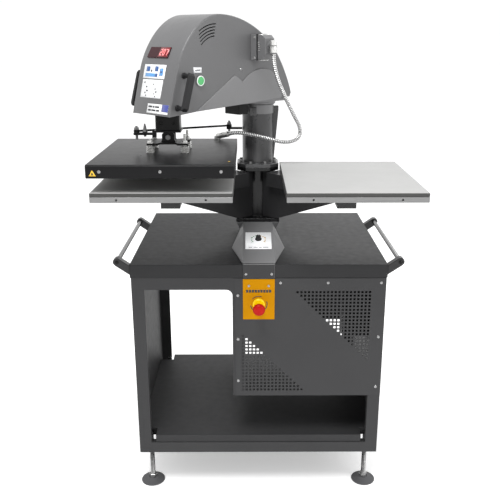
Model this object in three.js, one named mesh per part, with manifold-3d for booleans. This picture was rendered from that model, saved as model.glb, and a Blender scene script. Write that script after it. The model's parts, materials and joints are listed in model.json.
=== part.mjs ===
// Twin-station swing-head pneumatic heat press on a sheet-metal cabinet stand.
// Units are millimetres. X runs right, Y away from the operator, Z up; the origin is on the floor.
// The model is shown at rest: head over the left station, press platen raised, buttons released.

import * as THREE from 'three';
import Module from 'manifold-3d';
import { mergeVertices } from 'three/addons/utils/BufferGeometryUtils.js';
import { ConvexGeometry } from 'three/addons/geometries/ConvexGeometry.js';

const wasm = await Module();
wasm.setup();

// ---- driving dimensions ----
const GAP = 0.3;
const SHEET = 2;

const CABINET = { halfWidth: 400, front: -246, rear: 404, bottom: 130, top: 800 };
const SKIRT_HEIGHT = 43;
const FRAME = { member: 40, depth: 24, openingBottom: 168, openingTop: 716 };
const BAY_CORNER_RADIUS = 20;
const POST = { left: -83, right: -43 };
const PANEL = { left: -75, bottom: 346, top: 755, thickness: 1.5 };
const ELECTRICAL = { width: 86, front: 60, rear: 110, bottom: 420, top: 720, glandRadius: 10 };
const TANK = { x: 46, z: 530, radius: 85, front: -60, rear: 330, wall: 4, bungRadius: 9 };
const MOTOR = { left: 1, right: 91, front: 60, rear: 220, bottom: 600, top: 700 };
const SHELF = { top: 195, bottom: 168.3, frontHalfWidth: 345, halfWidth: 397, notch: 48 };
const FOOT = { x: 365, frontY: -211, rearY: 369, discRadius: 40, studRadius: 8, studTop: 185 };

const COLUMN_Y = 125.5;
const COLUMN_RADIUS = 53;
const COLUMN_TOP = 1257;
const SPINDLE_RADIUS = 32;
const FLANGE = { halfWidth: 71, chamfer: 29, joint: 1047, top: 1059 };
const PEDESTAL = { base: 858, plateTop: 870, plateHalf: 75, neckHalf: 52, tubeRadius: 40, bore: 32 };
const ARM = { half: 35, wall: 5, root: 75, tip: 350, tipLow: 962, boss: 30, webHalf: 13, flangeLow: 985 };

const STATION = { x: 275.5, y: -150, width: 400, depth: 500, top: 1061 };
const PAD_THICKNESS = 12;
const PLATE_THICKNESS = 16;
const PLATE_HOLE = { spacing: 125, radius: 3, depth: 15 };
const ARM_ANGLE = Math.PI / 4;
const SWING_RADIUS = Math.hypot(STATION.x, COLUMN_Y - STATION.y);

const PLATEN = { width: 410, depth: 510, bottom: 1103, top: 1141, wall: 2.5, screwZ: 1122 };
const RAM_RADIUS = 12;
const YOKE = { width: 38, depth: 50, bottom: 1169.8, top: 1199, boltZ: 1184, slotHalf: 10 };
const SPIDER = { bottom: 1163.5, top: 1169.5, boltX: 52, boltY: 45 };
const SPRING_BOLT = {
  nutTop: 1177, leftTop: 1182, rightTop: 1197, packRadius: 13, layers: 4, layer: 5.4,
};
const LINK = { offset: -98.6, columnZ: 1182, ramZ: 1200, bar: 7, eye: 8, pinRadius: 4 };
const COLLAR = { half: 36.5, bottom: 1206, top: 1253.5, plateBottom: 1200 };

const HEAD = { halfWidth: 88, shell: 2.5, floorBottom: 1270, floorTop: 1278, sideOuter: 91.3 };
const LOUVRE = { count: 5, t: 268, z: 1396, outer: 118, pitch: 8.5, slot: 3.2 };
const WINDOW = { t: 403, w: -12.5, z: 1431, halfWidth: 48, halfHeight: 17, depth: 6, tilt: 0.56 };
const START_BUTTON = { t: 337, z: 1351 };
const BOW = {
  upper: [397, 1368], lower: [425, 1277], postRadius: 6.5, gripHalf: 10.5, inner: 116, outer: 128,
  overhang: 8,
};
const HOOD = { halfWidth: 50, crest: 858, crestFront: -78, lip: 806, tip: 88.5, tipY: -67 };
const KNOB = { y: -122, radius: 8.5, height: 16 };
const ESTOP = { z: 670, width: 100, bottom: 618, top: 753, capRadius: 19 };
const HANDLE = { x: 440, z: 808, radius: 7.5, front: -222, rear: 236, bracket: 24 };
const HOSE_RADIUS = 7;

// ---- solids ----

function solidOf(geometry) {
  const bare = geometry.clone();
  bare.deleteAttribute('normal');
  bare.deleteAttribute('uv');
  const merged = mergeVertices(bare, 1e-4);
  return new wasm.Manifold(new wasm.Mesh({
    numProp: 3,
    vertProperties: new Float32Array(merged.attributes.position.array),
    triVerts: new Uint32Array(merged.index.array),
  }));
}

function geometryOf(solid) {
  const mesh = solid.getMesh();
  const geometry = new THREE.BufferGeometry();
  geometry.setAttribute('position', new THREE.BufferAttribute(mesh.vertProperties, 3));
  geometry.setIndex(new THREE.BufferAttribute(mesh.triVerts, 1));
  geometry.computeVertexNormals();
  return geometry;
}

function join(first, ...others) {
  return geometryOf(others.reduce((sum, other) => sum.add(solidOf(other)), solidOf(first)));
}

function cut(first, ...tools) {
  return geometryOf(tools.reduce((rest, tool) => rest.subtract(solidOf(tool)), solidOf(first)));
}

function mirrorX(geometry) {
  return geometryOf(solidOf(geometry).mirror([1, 0, 0]));
}

function box(x0, x1, y0, y1, z0, z1) {
  const geometry = new THREE.BoxGeometry(x1 - x0, y1 - y0, z1 - z0);
  return geometry.translate((x0 + x1) / 2, (y0 + y1) / 2, (z0 + z1) / 2);
}

function rodZ(radius, z0, z1, x = 0, y = 0, sides = 24, topRadius = radius) {
  const geometry = new THREE.CylinderGeometry(topRadius, radius, z1 - z0, sides);
  return geometry.rotateX(Math.PI / 2).translate(x, y, (z0 + z1) / 2);
}

function rodY(radius, y0, y1, x = 0, z = 0, sides = 24) {
  return new THREE.CylinderGeometry(radius, radius, y1 - y0, sides).translate(x, (y0 + y1) / 2, z);
}

function outline(points) {
  return new THREE.Shape(points.map(([x, y]) => new THREE.Vector2(x, y)));
}

function extrudeZ(shape, z0, z1, curveSegments = 8) {
  const options = { depth: z1 - z0, bevelEnabled: false, curveSegments };
  return new THREE.ExtrudeGeometry(shape, options).translate(0, 0, z0);
}

// The shape is drawn in X and Z and given its thickness along Y.
function extrudeY(shape, y0, y1, curveSegments = 8) {
  const options = { depth: y1 - y0, bevelEnabled: false, curveSegments };
  return new THREE.ExtrudeGeometry(shape, options).rotateX(Math.PI / 2).translate(0, y1, 0);
}

// The shape is drawn in Y and Z and given its thickness along X.
function extrudeX(shape, x0, x1, curveSegments = 8) {
  const options = { depth: x1 - x0, bevelEnabled: false, curveSegments };
  return new THREE.ExtrudeGeometry(shape, options)
    .applyMatrix4(new THREE.Matrix4().set(0, 0, 1, x0, 1, 0, 0, 0, 0, 1, 0, 0, 0, 0, 0, 1));
}

function roundedRectangle(halfWidth, halfDepth, radius) {
  const shape = new THREE.Shape();
  shape.moveTo(-halfWidth + radius, -halfDepth);
  shape.absarc(halfWidth - radius, -halfDepth + radius, radius, -Math.PI / 2, 0);
  shape.absarc(halfWidth - radius, halfDepth - radius, radius, 0, Math.PI / 2);
  shape.absarc(-halfWidth + radius, halfDepth - radius, radius, Math.PI / 2, Math.PI);
  shape.absarc(-halfWidth + radius, -halfDepth + radius, radius, Math.PI, 1.5 * Math.PI);
  return shape;
}

function chamferedSquare(half, chamfer) {
  const flat = half - chamfer;
  return outline([[-flat, -half], [flat, -half], [half, -flat], [half, flat],
    [flat, half], [-flat, half], [-half, flat], [-half, -flat]]);
}

function turned(profile, sides = 24) {
  const points = profile.map(([radius, height]) => new THREE.Vector2(radius, height));
  return new THREE.LatheGeometry(points, sides).rotateX(Math.PI / 2);
}

function sweep(points, radius, steps, sides) {
  const curve = new THREE.CatmullRomCurve3(points.map(([x, y, z]) => new THREE.Vector3(x, y, z)));
  const circle = new THREE.Shape();
  circle.absarc(0, 0, radius, 0, 2 * Math.PI);
  const options = { steps, extrudePath: curve, curveSegments: sides / 2, bevelEnabled: false };
  return new THREE.ExtrudeGeometry(circle, options);
}

function hull(points) {
  return new ConvexGeometry(points.map(([x, y, z]) => new THREE.Vector3(x, y, z)));
}

// ---- materials ----

function paint(color) {
  return new THREE.MeshStandardMaterial({ color, roughness: 0.55, metalness: 0.2 });
}

const cabinetPaint = paint(0x4c4c4e);
const headPaint = paint(0x7d7d7d);
const armPaint = paint(0x969696);
const darkPaint = paint(0x262626);
const blackSteel = new THREE.MeshStandardMaterial({ color: 0x1b1b1b, roughness: 0.5, metalness: 0.6 });
const steel = new THREE.MeshStandardMaterial({ color: 0xb0b0b0, roughness: 0.35, metalness: 0.9 });
const aluminium = new THREE.MeshStandardMaterial({ color: 0xc8c8c8, roughness: 0.45, metalness: 0.8 });
const silicone = new THREE.MeshStandardMaterial({ color: 0xd2d2d0, roughness: 0.8, metalness: 0 });
const dieCast = paint(0x737373);
const blackPlastic = new THREE.MeshStandardMaterial({ color: 0x202020, roughness: 0.6, metalness: 0 });
const yellowPlate = paint(0xe09600);
const yellowPlastic = new THREE.MeshStandardMaterial({ color: 0xf2c400, roughness: 0.5, metalness: 0 });
const redPlastic = new THREE.MeshStandardMaterial({ color: 0xcd1e1e, roughness: 0.4, metalness: 0 });
const greenPlastic = new THREE.MeshStandardMaterial({ color: 0x64b478, roughness: 0.4, metalness: 0 });
const darkGlass = new THREE.MeshStandardMaterial({ color: 0x400808, roughness: 0.15, metalness: 0 });

function part(name, geometry, material) {
  const mesh = new THREE.Mesh(geometry, material);
  mesh.name = name;
  return mesh;
}

// ---- cabinet ----

// The frame's opening: the storage bay, the slot under the equipment panel, and the hanging post
// between them. inset moves its edges into the metal, for the hollow behind the front face.
function frameOpening(inset) {
  const side = CABINET.halfWidth - FRAME.member + inset;
  const low = FRAME.openingBottom - inset;
  const high = FRAME.openingTop + inset;
  const postLeft = POST.left + inset;
  const postRight = POST.right - inset;
  const radius = BAY_CORNER_RADIUS + inset;
  const shape = new THREE.Path();
  shape.moveTo(-side, low);
  shape.lineTo(side, low);
  shape.lineTo(side, high);
  shape.lineTo(postRight, high);
  shape.lineTo(postRight, PANEL.bottom + inset);
  shape.lineTo(postLeft, PANEL.bottom + inset);
  shape.lineTo(postLeft, high - radius);
  shape.absarc(postLeft - radius, high - radius, radius, 0, Math.PI / 2);
  shape.lineTo(-side, high);
  return shape;
}

function frameRing(inset) {
  const side = CABINET.halfWidth - inset;
  const low = CABINET.bottom + inset;
  const high = CABINET.top - SHEET - GAP - inset;
  const ring = outline([[-side, low], [side, low], [side, high], [-side, high]]);
  ring.holes.push(frameOpening(inset));
  return ring;
}

function frontFrame() {
  const back = CABINET.front + FRAME.depth;
  const full = extrudeY(frameRing(0), CABINET.front, back, 5);
  const hollow = extrudeY(frameRing(SHEET), CABINET.front + SHEET, back + 1, 5);
  return cut(full, hollow);
}

// A side panel is one folded sheet: wall and rear return, with a bottom plate for each foot stud.
function sidePanel(side) {
  const front = CABINET.front + FRAME.depth + GAP;
  const top = CABINET.top - SHEET - GAP;
  const outer = CABINET.halfWidth;
  const folded = join(
    box(outer - SHEET, outer, front, CABINET.rear, CABINET.bottom, top),
    box(outer - FRAME.member, outer, CABINET.rear - SHEET, CABINET.rear, CABINET.bottom, top),
    box(outer - 60, outer, front, FOOT.frontY + 40, CABINET.bottom, CABINET.bottom + 5),
    box(outer - 60, outer, FOOT.rearY - 40, CABINET.rear, CABINET.bottom, CABINET.bottom + 5),
  );
  const hole = FOOT.studRadius + 0.5;
  const drilled = cut(folded,
    rodZ(hole, CABINET.bottom - 1, CABINET.bottom + 6, FOOT.x, FOOT.frontY),
    rodZ(hole, CABINET.bottom - 1, CABINET.bottom + 6, FOOT.x, FOOT.rearY));
  return side > 0 ? drilled : mirrorX(drilled);
}

function topTray() {
  const overhang = SHEET + GAP;
  const outer = CABINET.halfWidth + overhang;
  const inner = CABINET.halfWidth + GAP;
  const low = CABINET.top - SKIRT_HEIGHT;
  return cut(
    box(-outer, outer, CABINET.front - overhang, CABINET.rear + overhang, low, CABINET.top),
    box(-inner, inner, CABINET.front - GAP, CABINET.rear + GAP, low - 1, CABINET.top - SHEET));
}

function shelfOutline(inset) {
  const narrow = SHELF.frontHalfWidth - inset;
  const wide = SHELF.halfWidth - inset;
  const front = CABINET.front + 3 + inset;
  const rear = CABINET.rear - 30 - inset;
  const frontStep = CABINET.front + SHELF.notch + inset;
  const rearStep = CABINET.rear - 30 - SHELF.notch - inset;
  return outline([[-narrow, front], [narrow, front], [narrow, frontStep], [wide, frontStep],
    [wide, rearStep], [narrow, rearStep], [narrow, rear], [-narrow, rear], [-narrow, rearStep],
    [-wide, rearStep], [-wide, frontStep], [-narrow, frontStep]]);
}

function storageShelf() {
  return cut(
    extrudeZ(shelfOutline(0), SHELF.bottom, SHELF.top),
    extrudeZ(shelfOutline(SHEET), SHELF.bottom - 1, SHELF.top - SHEET));
}

// Partition and rear wall of the equipment compartment, folded from one sheet.
function equipmentEnclosure() {
  const top = CABINET.top - SHEET - GAP;
  const left = PANEL.left + SHEET;
  const right = CABINET.halfWidth - SHEET - GAP;
  const rear = CABINET.rear - SHEET - GAP;
  return join(
    box(left, left + SHEET, CABINET.front + FRAME.depth + GAP, rear, PANEL.bottom, top),
    box(left, right, rear - SHEET, rear, PANEL.bottom, top));
}

function frontPanel() {
  const back = CABINET.front - GAP;
  const sheet = box(PANEL.left, CABINET.halfWidth, back - PANEL.thickness, back,
    PANEL.bottom, PANEL.top);
  return cut(sheet, rodY(11.5, back - 3, back + 1, 0, ESTOP.z));
}

// Closed sheet box on the right wall, with a hole for the cables in its floor.
function electricalBox() {
  const { front, rear, bottom, top, width, glandRadius } = ELECTRICAL;
  const right = CABINET.halfWidth - SHEET - GAP;
  const left = right - width;
  return cut(
    box(left, right, front, rear, bottom, top),
    box(left + SHEET, right - SHEET, front + SHEET, rear - SHEET, bottom + SHEET, top - SHEET),
    rodZ(glandRadius, bottom - 1, bottom + SHEET + 1, right - width / 2, (front + rear) / 2));
}

// Small tank compressor that hangs under the cabinet top inside the equipment compartment.
function airCompressor() {
  const { x, z, radius, front, rear, wall, bungRadius } = TANK;
  const top = CABINET.top - SHEET - GAP;
  const tank = rodY(radius, front, rear, x, z, 28);
  const motor = box(MOTOR.left, MOTOR.right, MOTOR.front, MOTOR.rear, MOTOR.bottom, MOTOR.top);
  const hangers = [front + 60, rear - 70].map((y) => box(x - 20, x + 20, y, y + 30, MOTOR.bottom, top));
  return cut(join(tank, motor, ...hangers),
    rodY(radius - wall, front + wall, rear - wall, x, z, 28),
    rodY(bungRadius, front - 1, front + wall + 1, x, z - radius / 2, 16));
}

function levellingFoot() {
  const disc = turned([[0, 0], [FOOT.discRadius, 0], [FOOT.discRadius, 4], [18, 12], [14, 14], [0, 14]]);
  const stud = rodZ(FOOT.studRadius, 10, FOOT.studTop, 0, 0, 16);
  const nut = rodZ(14, 14, 27, 0, 0, 6);
  return join(disc, stud, nut);
}

function buildCabinet() {
  const group = new THREE.Group();
  group.add(
    part('front_frame', frontFrame(), cabinetPaint),
    part('side_panel_left', sidePanel(-1), cabinetPaint),
    part('side_panel_right', sidePanel(1), cabinetPaint),
    part('top_tray', topTray(), cabinetPaint),
    part('storage_shelf', storageShelf(), cabinetPaint),
    part('equipment_enclosure', equipmentEnclosure(), cabinetPaint),
    part('front_panel', frontPanel(), cabinetPaint),
    part('electrical_box', electricalBox(), darkPaint),
    part('air_compressor', airCompressor(), darkPaint),
  );
  for (const [place, y] of [['front', FOOT.frontY], ['rear', FOOT.rearY]]) {
    for (const [side, x] of [['left', -FOOT.x], ['right', FOOT.x]]) {
      const foot = part(`levelling_foot_${place}_${side}`, levellingFoot(), steel);
      foot.position.set(x, y, 0);
      group.add(foot);
    }
  }
  return group;
}

// ---- side handles ----

// The bracket rises outward from the skirt and carries one end of the tube in a round head.
function handleBracket() {
  const root = CABINET.halfWidth + SHEET + 2 * GAP;
  const head = 13;
  const shape = new THREE.Shape();
  shape.moveTo(root, 766);
  shape.lineTo(HANDLE.x + 6, HANDLE.z - head + 1);
  shape.absarc(HANDLE.x, HANDLE.z, head, -Math.PI / 3, Math.PI / 1.6);
  shape.lineTo(root, 797);
  return extrudeY(shape, 0, HANDLE.bracket, 6);
}

function buildSideHandles() {
  const group = new THREE.Group();
  for (const [side, sign] of [['left', -1], ['right', 1]]) {
    const tube = rodY(HANDLE.radius, HANDLE.front + GAP, HANDLE.rear - GAP, sign * HANDLE.x, HANDLE.z, 20);
    group.add(part(`side_handle_${side}`, tube, steel));
    for (const [place, y] of [['front', HANDLE.front - HANDLE.bracket], ['rear', HANDLE.rear]]) {
      const shape = handleBracket();
      const bracket = part(`handle_bracket_${place}_${side}`, shape, darkPaint);
      bracket.rotation.z = sign > 0 ? 0 : Math.PI;
      bracket.position.y = sign > 0 ? y : y + HANDLE.bracket;
      group.add(bracket);
    }
  }
  return group;
}

// ---- control hood, pressure knob and emergency stop ----

function hoodBody(wall) {
  const half = HOOD.halfWidth - wall;
  const tip = HOOD.tip - 2 * wall;
  const floor = CABINET.top + (wall ? -1 : GAP);
  const front = CABINET.front + wall;
  return hull([-1, 1].flatMap((side) => [
    [side * half, front, floor], [side * half, front, HOOD.lip - wall],
    [side * tip, HOOD.tipY, floor],
    [side * half, HOOD.crestFront + wall / 2, HOOD.crest - wall],
    [side * half, 49 - wall, HOOD.crest - wall], [side * half, 68 - wall, floor],
  ]));
}

function hoodSlope() {
  return Math.atan2(HOOD.crest - HOOD.lip, HOOD.crestFront - CABINET.front);
}

function knobHeight() {
  return HOOD.crest - (HOOD.crestFront - KNOB.y) * Math.tan(hoodSlope());
}

function controlHood() {
  const face = CABINET.front - SHEET - 2 * GAP;
  const flap = box(-HOOD.halfWidth, HOOD.halfWidth, face - SHEET, face, PANEL.top + GAP, HOOD.lip - 4);
  const lip = box(-HOOD.halfWidth, HOOD.halfWidth, face - SHEET, CABINET.front + 6,
    CABINET.top + GAP, HOOD.lip - 4);
  const spindleHole = rodZ(4.5, -12, 12);
  spindleHole.rotateX(hoodSlope()).translate(0, KNOB.y, knobHeight());
  return cut(join(hoodBody(0), flap, lip), hoodBody(3), spindleHole);
}

function pressureKnob() {
  const cap = turned([[0, 1], [KNOB.radius + 2, 1], [KNOB.radius + 2, 4], [KNOB.radius, 5],
    [KNOB.radius - 1, KNOB.height - 2], [KNOB.radius - 3, KNOB.height], [0, KNOB.height]], 20);
  return join(cap, rodZ(3.5, -24, 4, 0, 0, 12));
}

function estopPlate() {
  const face = CABINET.front - 2 * GAP - PANEL.thickness;
  const plate = box(-ESTOP.width / 2, ESTOP.width / 2, face - SHEET, face, ESTOP.bottom, ESTOP.top);
  return cut(plate, rodY(11.5, face - 4, face + 1, 0, ESTOP.z));
}

// Neck in front of the plate, barrel through it and contact block behind, drawn along +Z.
function estopCollar() {
  const neck = turned([[0, 0], [19, 0], [19, 3], [15, 6], [14, 34], [0, 34]]);
  const barrel = rodZ(11, -8, 2);
  const block = box(-17, 17, -19, 19, -36, -5.2);
  return cut(join(neck, barrel, block), rodZ(8.6, -30, 35));
}

function estopButton() {
  const cap = turned([[0, 41], [15, 41], [ESTOP.capRadius, 44], [ESTOP.capRadius, 50],
    [16, 55.5], [8, 58], [0, 58]]);
  return join(cap, rodZ(8, -20, 43));
}

function buildControls() {
  const group = new THREE.Group();
  group.add(part('control_hood', controlHood(), cabinetPaint));
  const knob = part('pressure_knob', pressureKnob(), blackPlastic);
  knob.rotation.x = hoodSlope();
  knob.position.set(0, KNOB.y, knobHeight());
  group.add(knob, part('estop_plate', estopPlate(), yellowPlate));
  const stop = new THREE.Group();
  stop.rotation.x = Math.PI / 2;
  stop.position.set(0, CABINET.front - SHEET - PANEL.thickness - 3 * GAP, ESTOP.z);
  stop.add(
    part('estop_collar', estopCollar(), yellowPlastic),
    part('estop_button', estopButton(), redPlastic));
  group.add(stop);
  return group;
}

// ---- pedestal, station arms, lower plates and column ----

// Flared foot that carries the pedestal on the cabinet top.
function pedestalBase() {
  const top = PEDESTAL.plateHalf * Math.SQRT2;
  const foot = PEDESTAL.neckHalf * Math.SQRT2;
  const neck = rodZ(foot, CABINET.top + GAP, PEDESTAL.base - GAP, 0, 0, 4, top).rotateZ(Math.PI / 4);
  return cut(neck, rodZ(PEDESTAL.bore, CABINET.top, PEDESTAL.base, 0, 0, 32));
}

function pedestal() {
  const half = PEDESTAL.plateHalf;
  const flangeFoot = 2 * FLANGE.joint - FLANGE.top;
  const plate = box(-half, half, -half, half, PEDESTAL.base, PEDESTAL.plateTop);
  const tube = rodZ(PEDESTAL.tubeRadius, PEDESTAL.plateTop - 1, flangeFoot + 1, 0, 0, 32);
  const octagon = chamferedSquare(FLANGE.halfWidth, FLANGE.chamfer);
  const flange = extrudeZ(octagon, flangeFoot, FLANGE.joint - GAP);
  const bore = rodZ(PEDESTAL.bore, CABINET.top, FLANGE.joint + 1, 0, 0, 32);
  return cut(join(plate, tube, flange), bore);
}

// Tapered web on edge under a channel, drawn along +X, with the boss under its station plate.
function stationArm() {
  const { half, wall, root, tip, tipLow, boss, webHalf, flangeLow } = ARM;
  const top = STATION.top - PAD_THICKNESS - PLATE_THICKNESS - GAP;
  const low = PEDESTAL.plateTop + GAP;
  const tube = PEDESTAL.tubeRadius;
  const web = extrudeY(outline([[tube - 4, low], [tube + 60, low], [tip - 15, tipLow],
    [tip, tipLow + 27], [tip, top], [tube - 4, top]]), -webHalf, webHalf);
  const channel = box(root, tip, -half, half, flangeLow, top);
  const pockets = [-1, 1].map((side) => {
    const edges = [side * webHalf, side * (half - wall)].sort((a, b) => a - b);
    return box(root + wall, tip - wall, ...edges, flangeLow - 1, top - wall);
  });
  const foot = box(-boss, boss, -boss, boss, tipLow, top).rotateZ(ARM_ANGLE).translate(SWING_RADIUS, 0, 0);
  const bridge = box(tip - 10, SWING_RADIUS, -boss, boss, tipLow + 27, top);
  const tubeSpace = rodZ(tube + GAP, CABINET.top, STATION.top, 0, 0, 32);
  return cut(join(cut(channel, ...pockets), web, foot, bridge), tubeSpace);
}

function swingColumn() {
  const flange = extrudeZ(chamferedSquare(FLANGE.halfWidth, FLANGE.chamfer), FLANGE.joint, FLANGE.top);
  const tube = rodZ(COLUMN_RADIUS, FLANGE.top - 1, COLUMN_TOP, 0, 0, 36);
  const rib = extrudeY(outline([[48, 1060], [55, 1060], [71, 1235], [71, 1250], [48, 1250]]), -4, 4);
  const sensorBracket = join(
    box(-27, -5, -59, -50, 1222, 1250),
    box(-27, -21, -73, -55, 1222, 1250));
  const bore = rodZ(SPINDLE_RADIUS + 1, FLANGE.joint - 1, COLUMN_TOP + 1, 0, 0, 32);
  return cut(join(flange, tube, rib, sensorBracket), bore);
}

// Pin of the levelling linkage through the rod's eye at height z, with its washer and nut.
function linkPin(z, below, above) {
  const pin = rodZ(LINK.pinRadius, z - below, z + above, 0, 0, 14);
  const washer = rodZ(8, z - LINK.eye / 2 - 2, z - LINK.eye / 2 - GAP, 0, 0, 14);
  const nut = rodZ(8, z + LINK.eye / 2 + GAP, z + LINK.eye / 2 + 7, 0, 0, 6);
  return join(pin, washer, nut);
}

// Flat bar that carries a pin, from x0 to x1 with its top just under the rod's eye.
function linkBar(z, x0, x1) {
  const top = z - LINK.eye / 2 - 1;
  return box(x0, x1, -7, 7, top - LINK.bar, top);
}

function linkAnchor() {
  const reach = -LINK.offset - COLUMN_RADIUS - 2 * GAP;
  return join(linkPin(LINK.columnZ, 20, 17), linkBar(LINK.columnZ, -9, reach));
}

// Rod with an eye at each end, drawn from the column end along +X and rising towards the ram.
function linkRod() {
  const eye = (x, z) => rodZ(9, z - LINK.eye / 2, z + LINK.eye / 2, x, 0, 18);
  const hole = (x, z) => rodZ(LINK.pinRadius + 0.6, z - 20, z + 20, x, 0, 14);
  const slope = Math.atan2(LINK.ramZ - LINK.columnZ, SWING_RADIUS);
  const length = SWING_RADIUS / Math.cos(slope);
  const rod = rodY(3.5, 7, length - 7, 0, 0, 10).rotateZ(-Math.PI / 2).rotateY(-slope)
    .translate(0, 0, LINK.columnZ);
  return cut(
    join(eye(0, LINK.columnZ), rod, eye(SWING_RADIUS, LINK.ramZ)),
    hole(0, LINK.columnZ), hole(SWING_RADIUS, LINK.ramZ));
}

// Plate whose front edge has two tapped holes.
function lowerPlate(x, top) {
  const left = x - STATION.width / 2;
  const front = STATION.y - STATION.depth / 2;
  const slab = box(left, left + STATION.width, front, front + STATION.depth, top - PLATE_THICKNESS, top);
  const holes = [-1, 1].map((side) => rodY(PLATE_HOLE.radius, front - 1, front + PLATE_HOLE.depth,
    x + side * PLATE_HOLE.spacing, top - PLATE_THICKNESS / 2, 12));
  return cut(slab, ...holes);
}

function siliconePad(x, bottom) {
  const left = x - STATION.width / 2;
  const front = STATION.y - STATION.depth / 2;
  return box(left, left + STATION.width, front, front + STATION.depth, bottom, STATION.top);
}

function buildStations() {
  const group = new THREE.Group();
  const column = new THREE.Group();
  column.position.y = COLUMN_Y;
  column.add(part('pedestal_base', pedestalBase(), cabinetPaint),
    part('pedestal', pedestal(), darkPaint), part('swing_column', swingColumn(), darkPaint));
  const anchor = part('link_anchor', linkAnchor(), blackSteel);
  anchor.position.x = LINK.offset;
  const rod = part('link_rod', linkRod(), blackSteel);
  rod.position.x = LINK.offset;
  rod.rotation.z = -0.75 * Math.PI;
  column.add(anchor, rod);
  for (const [side, sign] of [['left', -1], ['right', 1]]) {
    const arm = part(`station_arm_${side}`, stationArm(), darkPaint);
    arm.rotation.z = -Math.PI / 2 + sign * ARM_ANGLE;
    column.add(arm);
    const x = sign * STATION.x;
    const plateTop = STATION.top - PAD_THICKNESS;
    group.add(
      part(`lower_plate_${side}`, lowerPlate(x, plateTop), aluminium),
      part(`silicone_pad_${side}`, siliconePad(x, plateTop + GAP), silicone));
  }
  group.add(column);
  return group;
}

// ---- swing head, drawn with +X from the column towards the ram and +Y out of its near side ----

// Side view of the dome. inset moves the skin inward for the hollow.
function domeOutline(inset) {
  const low = 1254 + (inset ? -20 : 0);
  const shape = new THREE.Shape();
  shape.moveTo(458 - inset, low);
  shape.lineTo(424 - inset, 1380);
  shape.bezierCurveTo(405 - inset, 1452, 335, 1541 - inset, 250, 1541 - inset);
  shape.bezierCurveTo(150, 1541 - inset, 50 + inset, 1490 - inset / 2, -2 + inset, 1424);
  shape.bezierCurveTo(-35 + inset, 1380, -60 + inset, 1335, -72 + inset, 1295);
  shape.lineTo(inset ? -72 + inset : -66, inset ? low : 1281);
  if (!inset) {
    shape.lineTo(217, 1268);
    shape.lineTo(353, 1262);
  }
  return shape;
}

// Side plate of the arm, below the zigzag seam of the dome. grow widens it for the cut in the dome.
function armSideOutline(grow) {
  const shape = new THREE.Shape();
  shape.moveTo(353 + 2 * grow, 1262 - grow);
  shape.lineTo(193, 1362 + grow);
  shape.lineTo(159, 1340 + grow);
  shape.quadraticCurveTo(118, 1378 + grow, 70, 1378 + grow);
  shape.quadraticCurveTo(22 - grow, 1376 + grow, 10 - grow, 1350);
  shape.lineTo(-22 - grow, 1288);
  shape.lineTo(-18 - grow, 1279 - grow);
  shape.lineTo(217, 1268 - grow);
  return shape;
}

// Concentric arc slots in the near side of the dome, each a little longer than the one above.
function louvreSlots() {
  return Array.from({ length: LOUVRE.count }, (_, row) => {
    const outer = LOUVRE.outer - row * LOUVRE.pitch;
    const start = Math.PI / 2 - 0.02 * row;
    const end = start - 0.62 - 0.03 * row;
    const slot = new THREE.Shape();
    slot.absarc(0, 0, outer, start, end, true);
    slot.absarc(0, 0, outer - LOUVRE.slot, end, start, false);
    return extrudeY(slot, HEAD.halfWidth - 6, HEAD.halfWidth + 2, 6).translate(LOUVRE.t, 0, LOUVRE.z);
  });
}

function headCover() {
  const inner = HEAD.halfWidth - HEAD.shell;
  const grown = 2 * GAP;
  const shell = cut(
    extrudeY(domeOutline(0), -HEAD.halfWidth, HEAD.halfWidth, 24),
    extrudeY(domeOutline(HEAD.shell), -inner, inner, 24),
    extrudeY(armSideOutline(grown), inner - 10, HEAD.halfWidth + 10, 6),
    extrudeY(armSideOutline(grown), -HEAD.halfWidth - 10, -inner + 10, 6));
  return cut(shell, ...louvreSlots(), displayWindow(1.5));
}

// Weldment inside the dome: floor with the ram hole, and the two side plates below the seam.
function headArm() {
  const floorHalf = HEAD.halfWidth - HEAD.shell - GAP;
  const floor = box(-50, 440, -floorHalf, floorHalf, HEAD.floorBottom, HEAD.floorTop);
  const plates = [-1, 1].map((side) => {
    const near = Math.min(side * (floorHalf - 5), side * HEAD.sideOuter);
    return extrudeY(armSideOutline(0), near, near + HEAD.sideOuter - floorHalf + 5, 6);
  });
  const ramHole = rodZ(RAM_RADIUS + 3, 1260, 1290, SWING_RADIUS, 0, 20);
  return cut(join(floor, ...plates), ramHole);
}

// Hub on the column's top, its spindle inside the column, and the lock block in front.
function swingHub() {
  const disc = rodZ(59, COLUMN_TOP + GAP, HEAD.floorBottom - GAP, 0, 0, 36);
  const spindle = rodZ(SPINDLE_RADIUS, 1150, COLUMN_TOP + 2, 0, 0, 32);
  const lockBlock = box(80, 122, -34, 34, 1230, HEAD.floorBottom - GAP);
  const web = box(20, 100, -34, 34, 1262, HEAD.floorBottom - GAP);
  return join(disc, spindle, lockBlock, web);
}

function airCylinder() {
  const body = rodZ(31, HEAD.floorTop + GAP, 1368, 0, 0, 28);
  return cut(body, rodZ(25, 1294, 1361, 0, 0, 28), rodZ(RAM_RADIUS + 0.4, 1270, 1300, 0, 0, 20));
}

// Window set into the dome's front, tangent to its curve.
function displayWindow(clearance = 0) {
  const deep = WINDOW.depth / 2 + clearance;
  const wide = WINDOW.halfWidth + clearance / 2;
  const high = WINDOW.halfHeight + clearance / 2;
  return box(-deep, deep, -wide, wide, -high, high)
    .rotateY(-WINDOW.tilt).translate(WINDOW.t, WINDOW.w, WINDOW.z);
}

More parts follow.
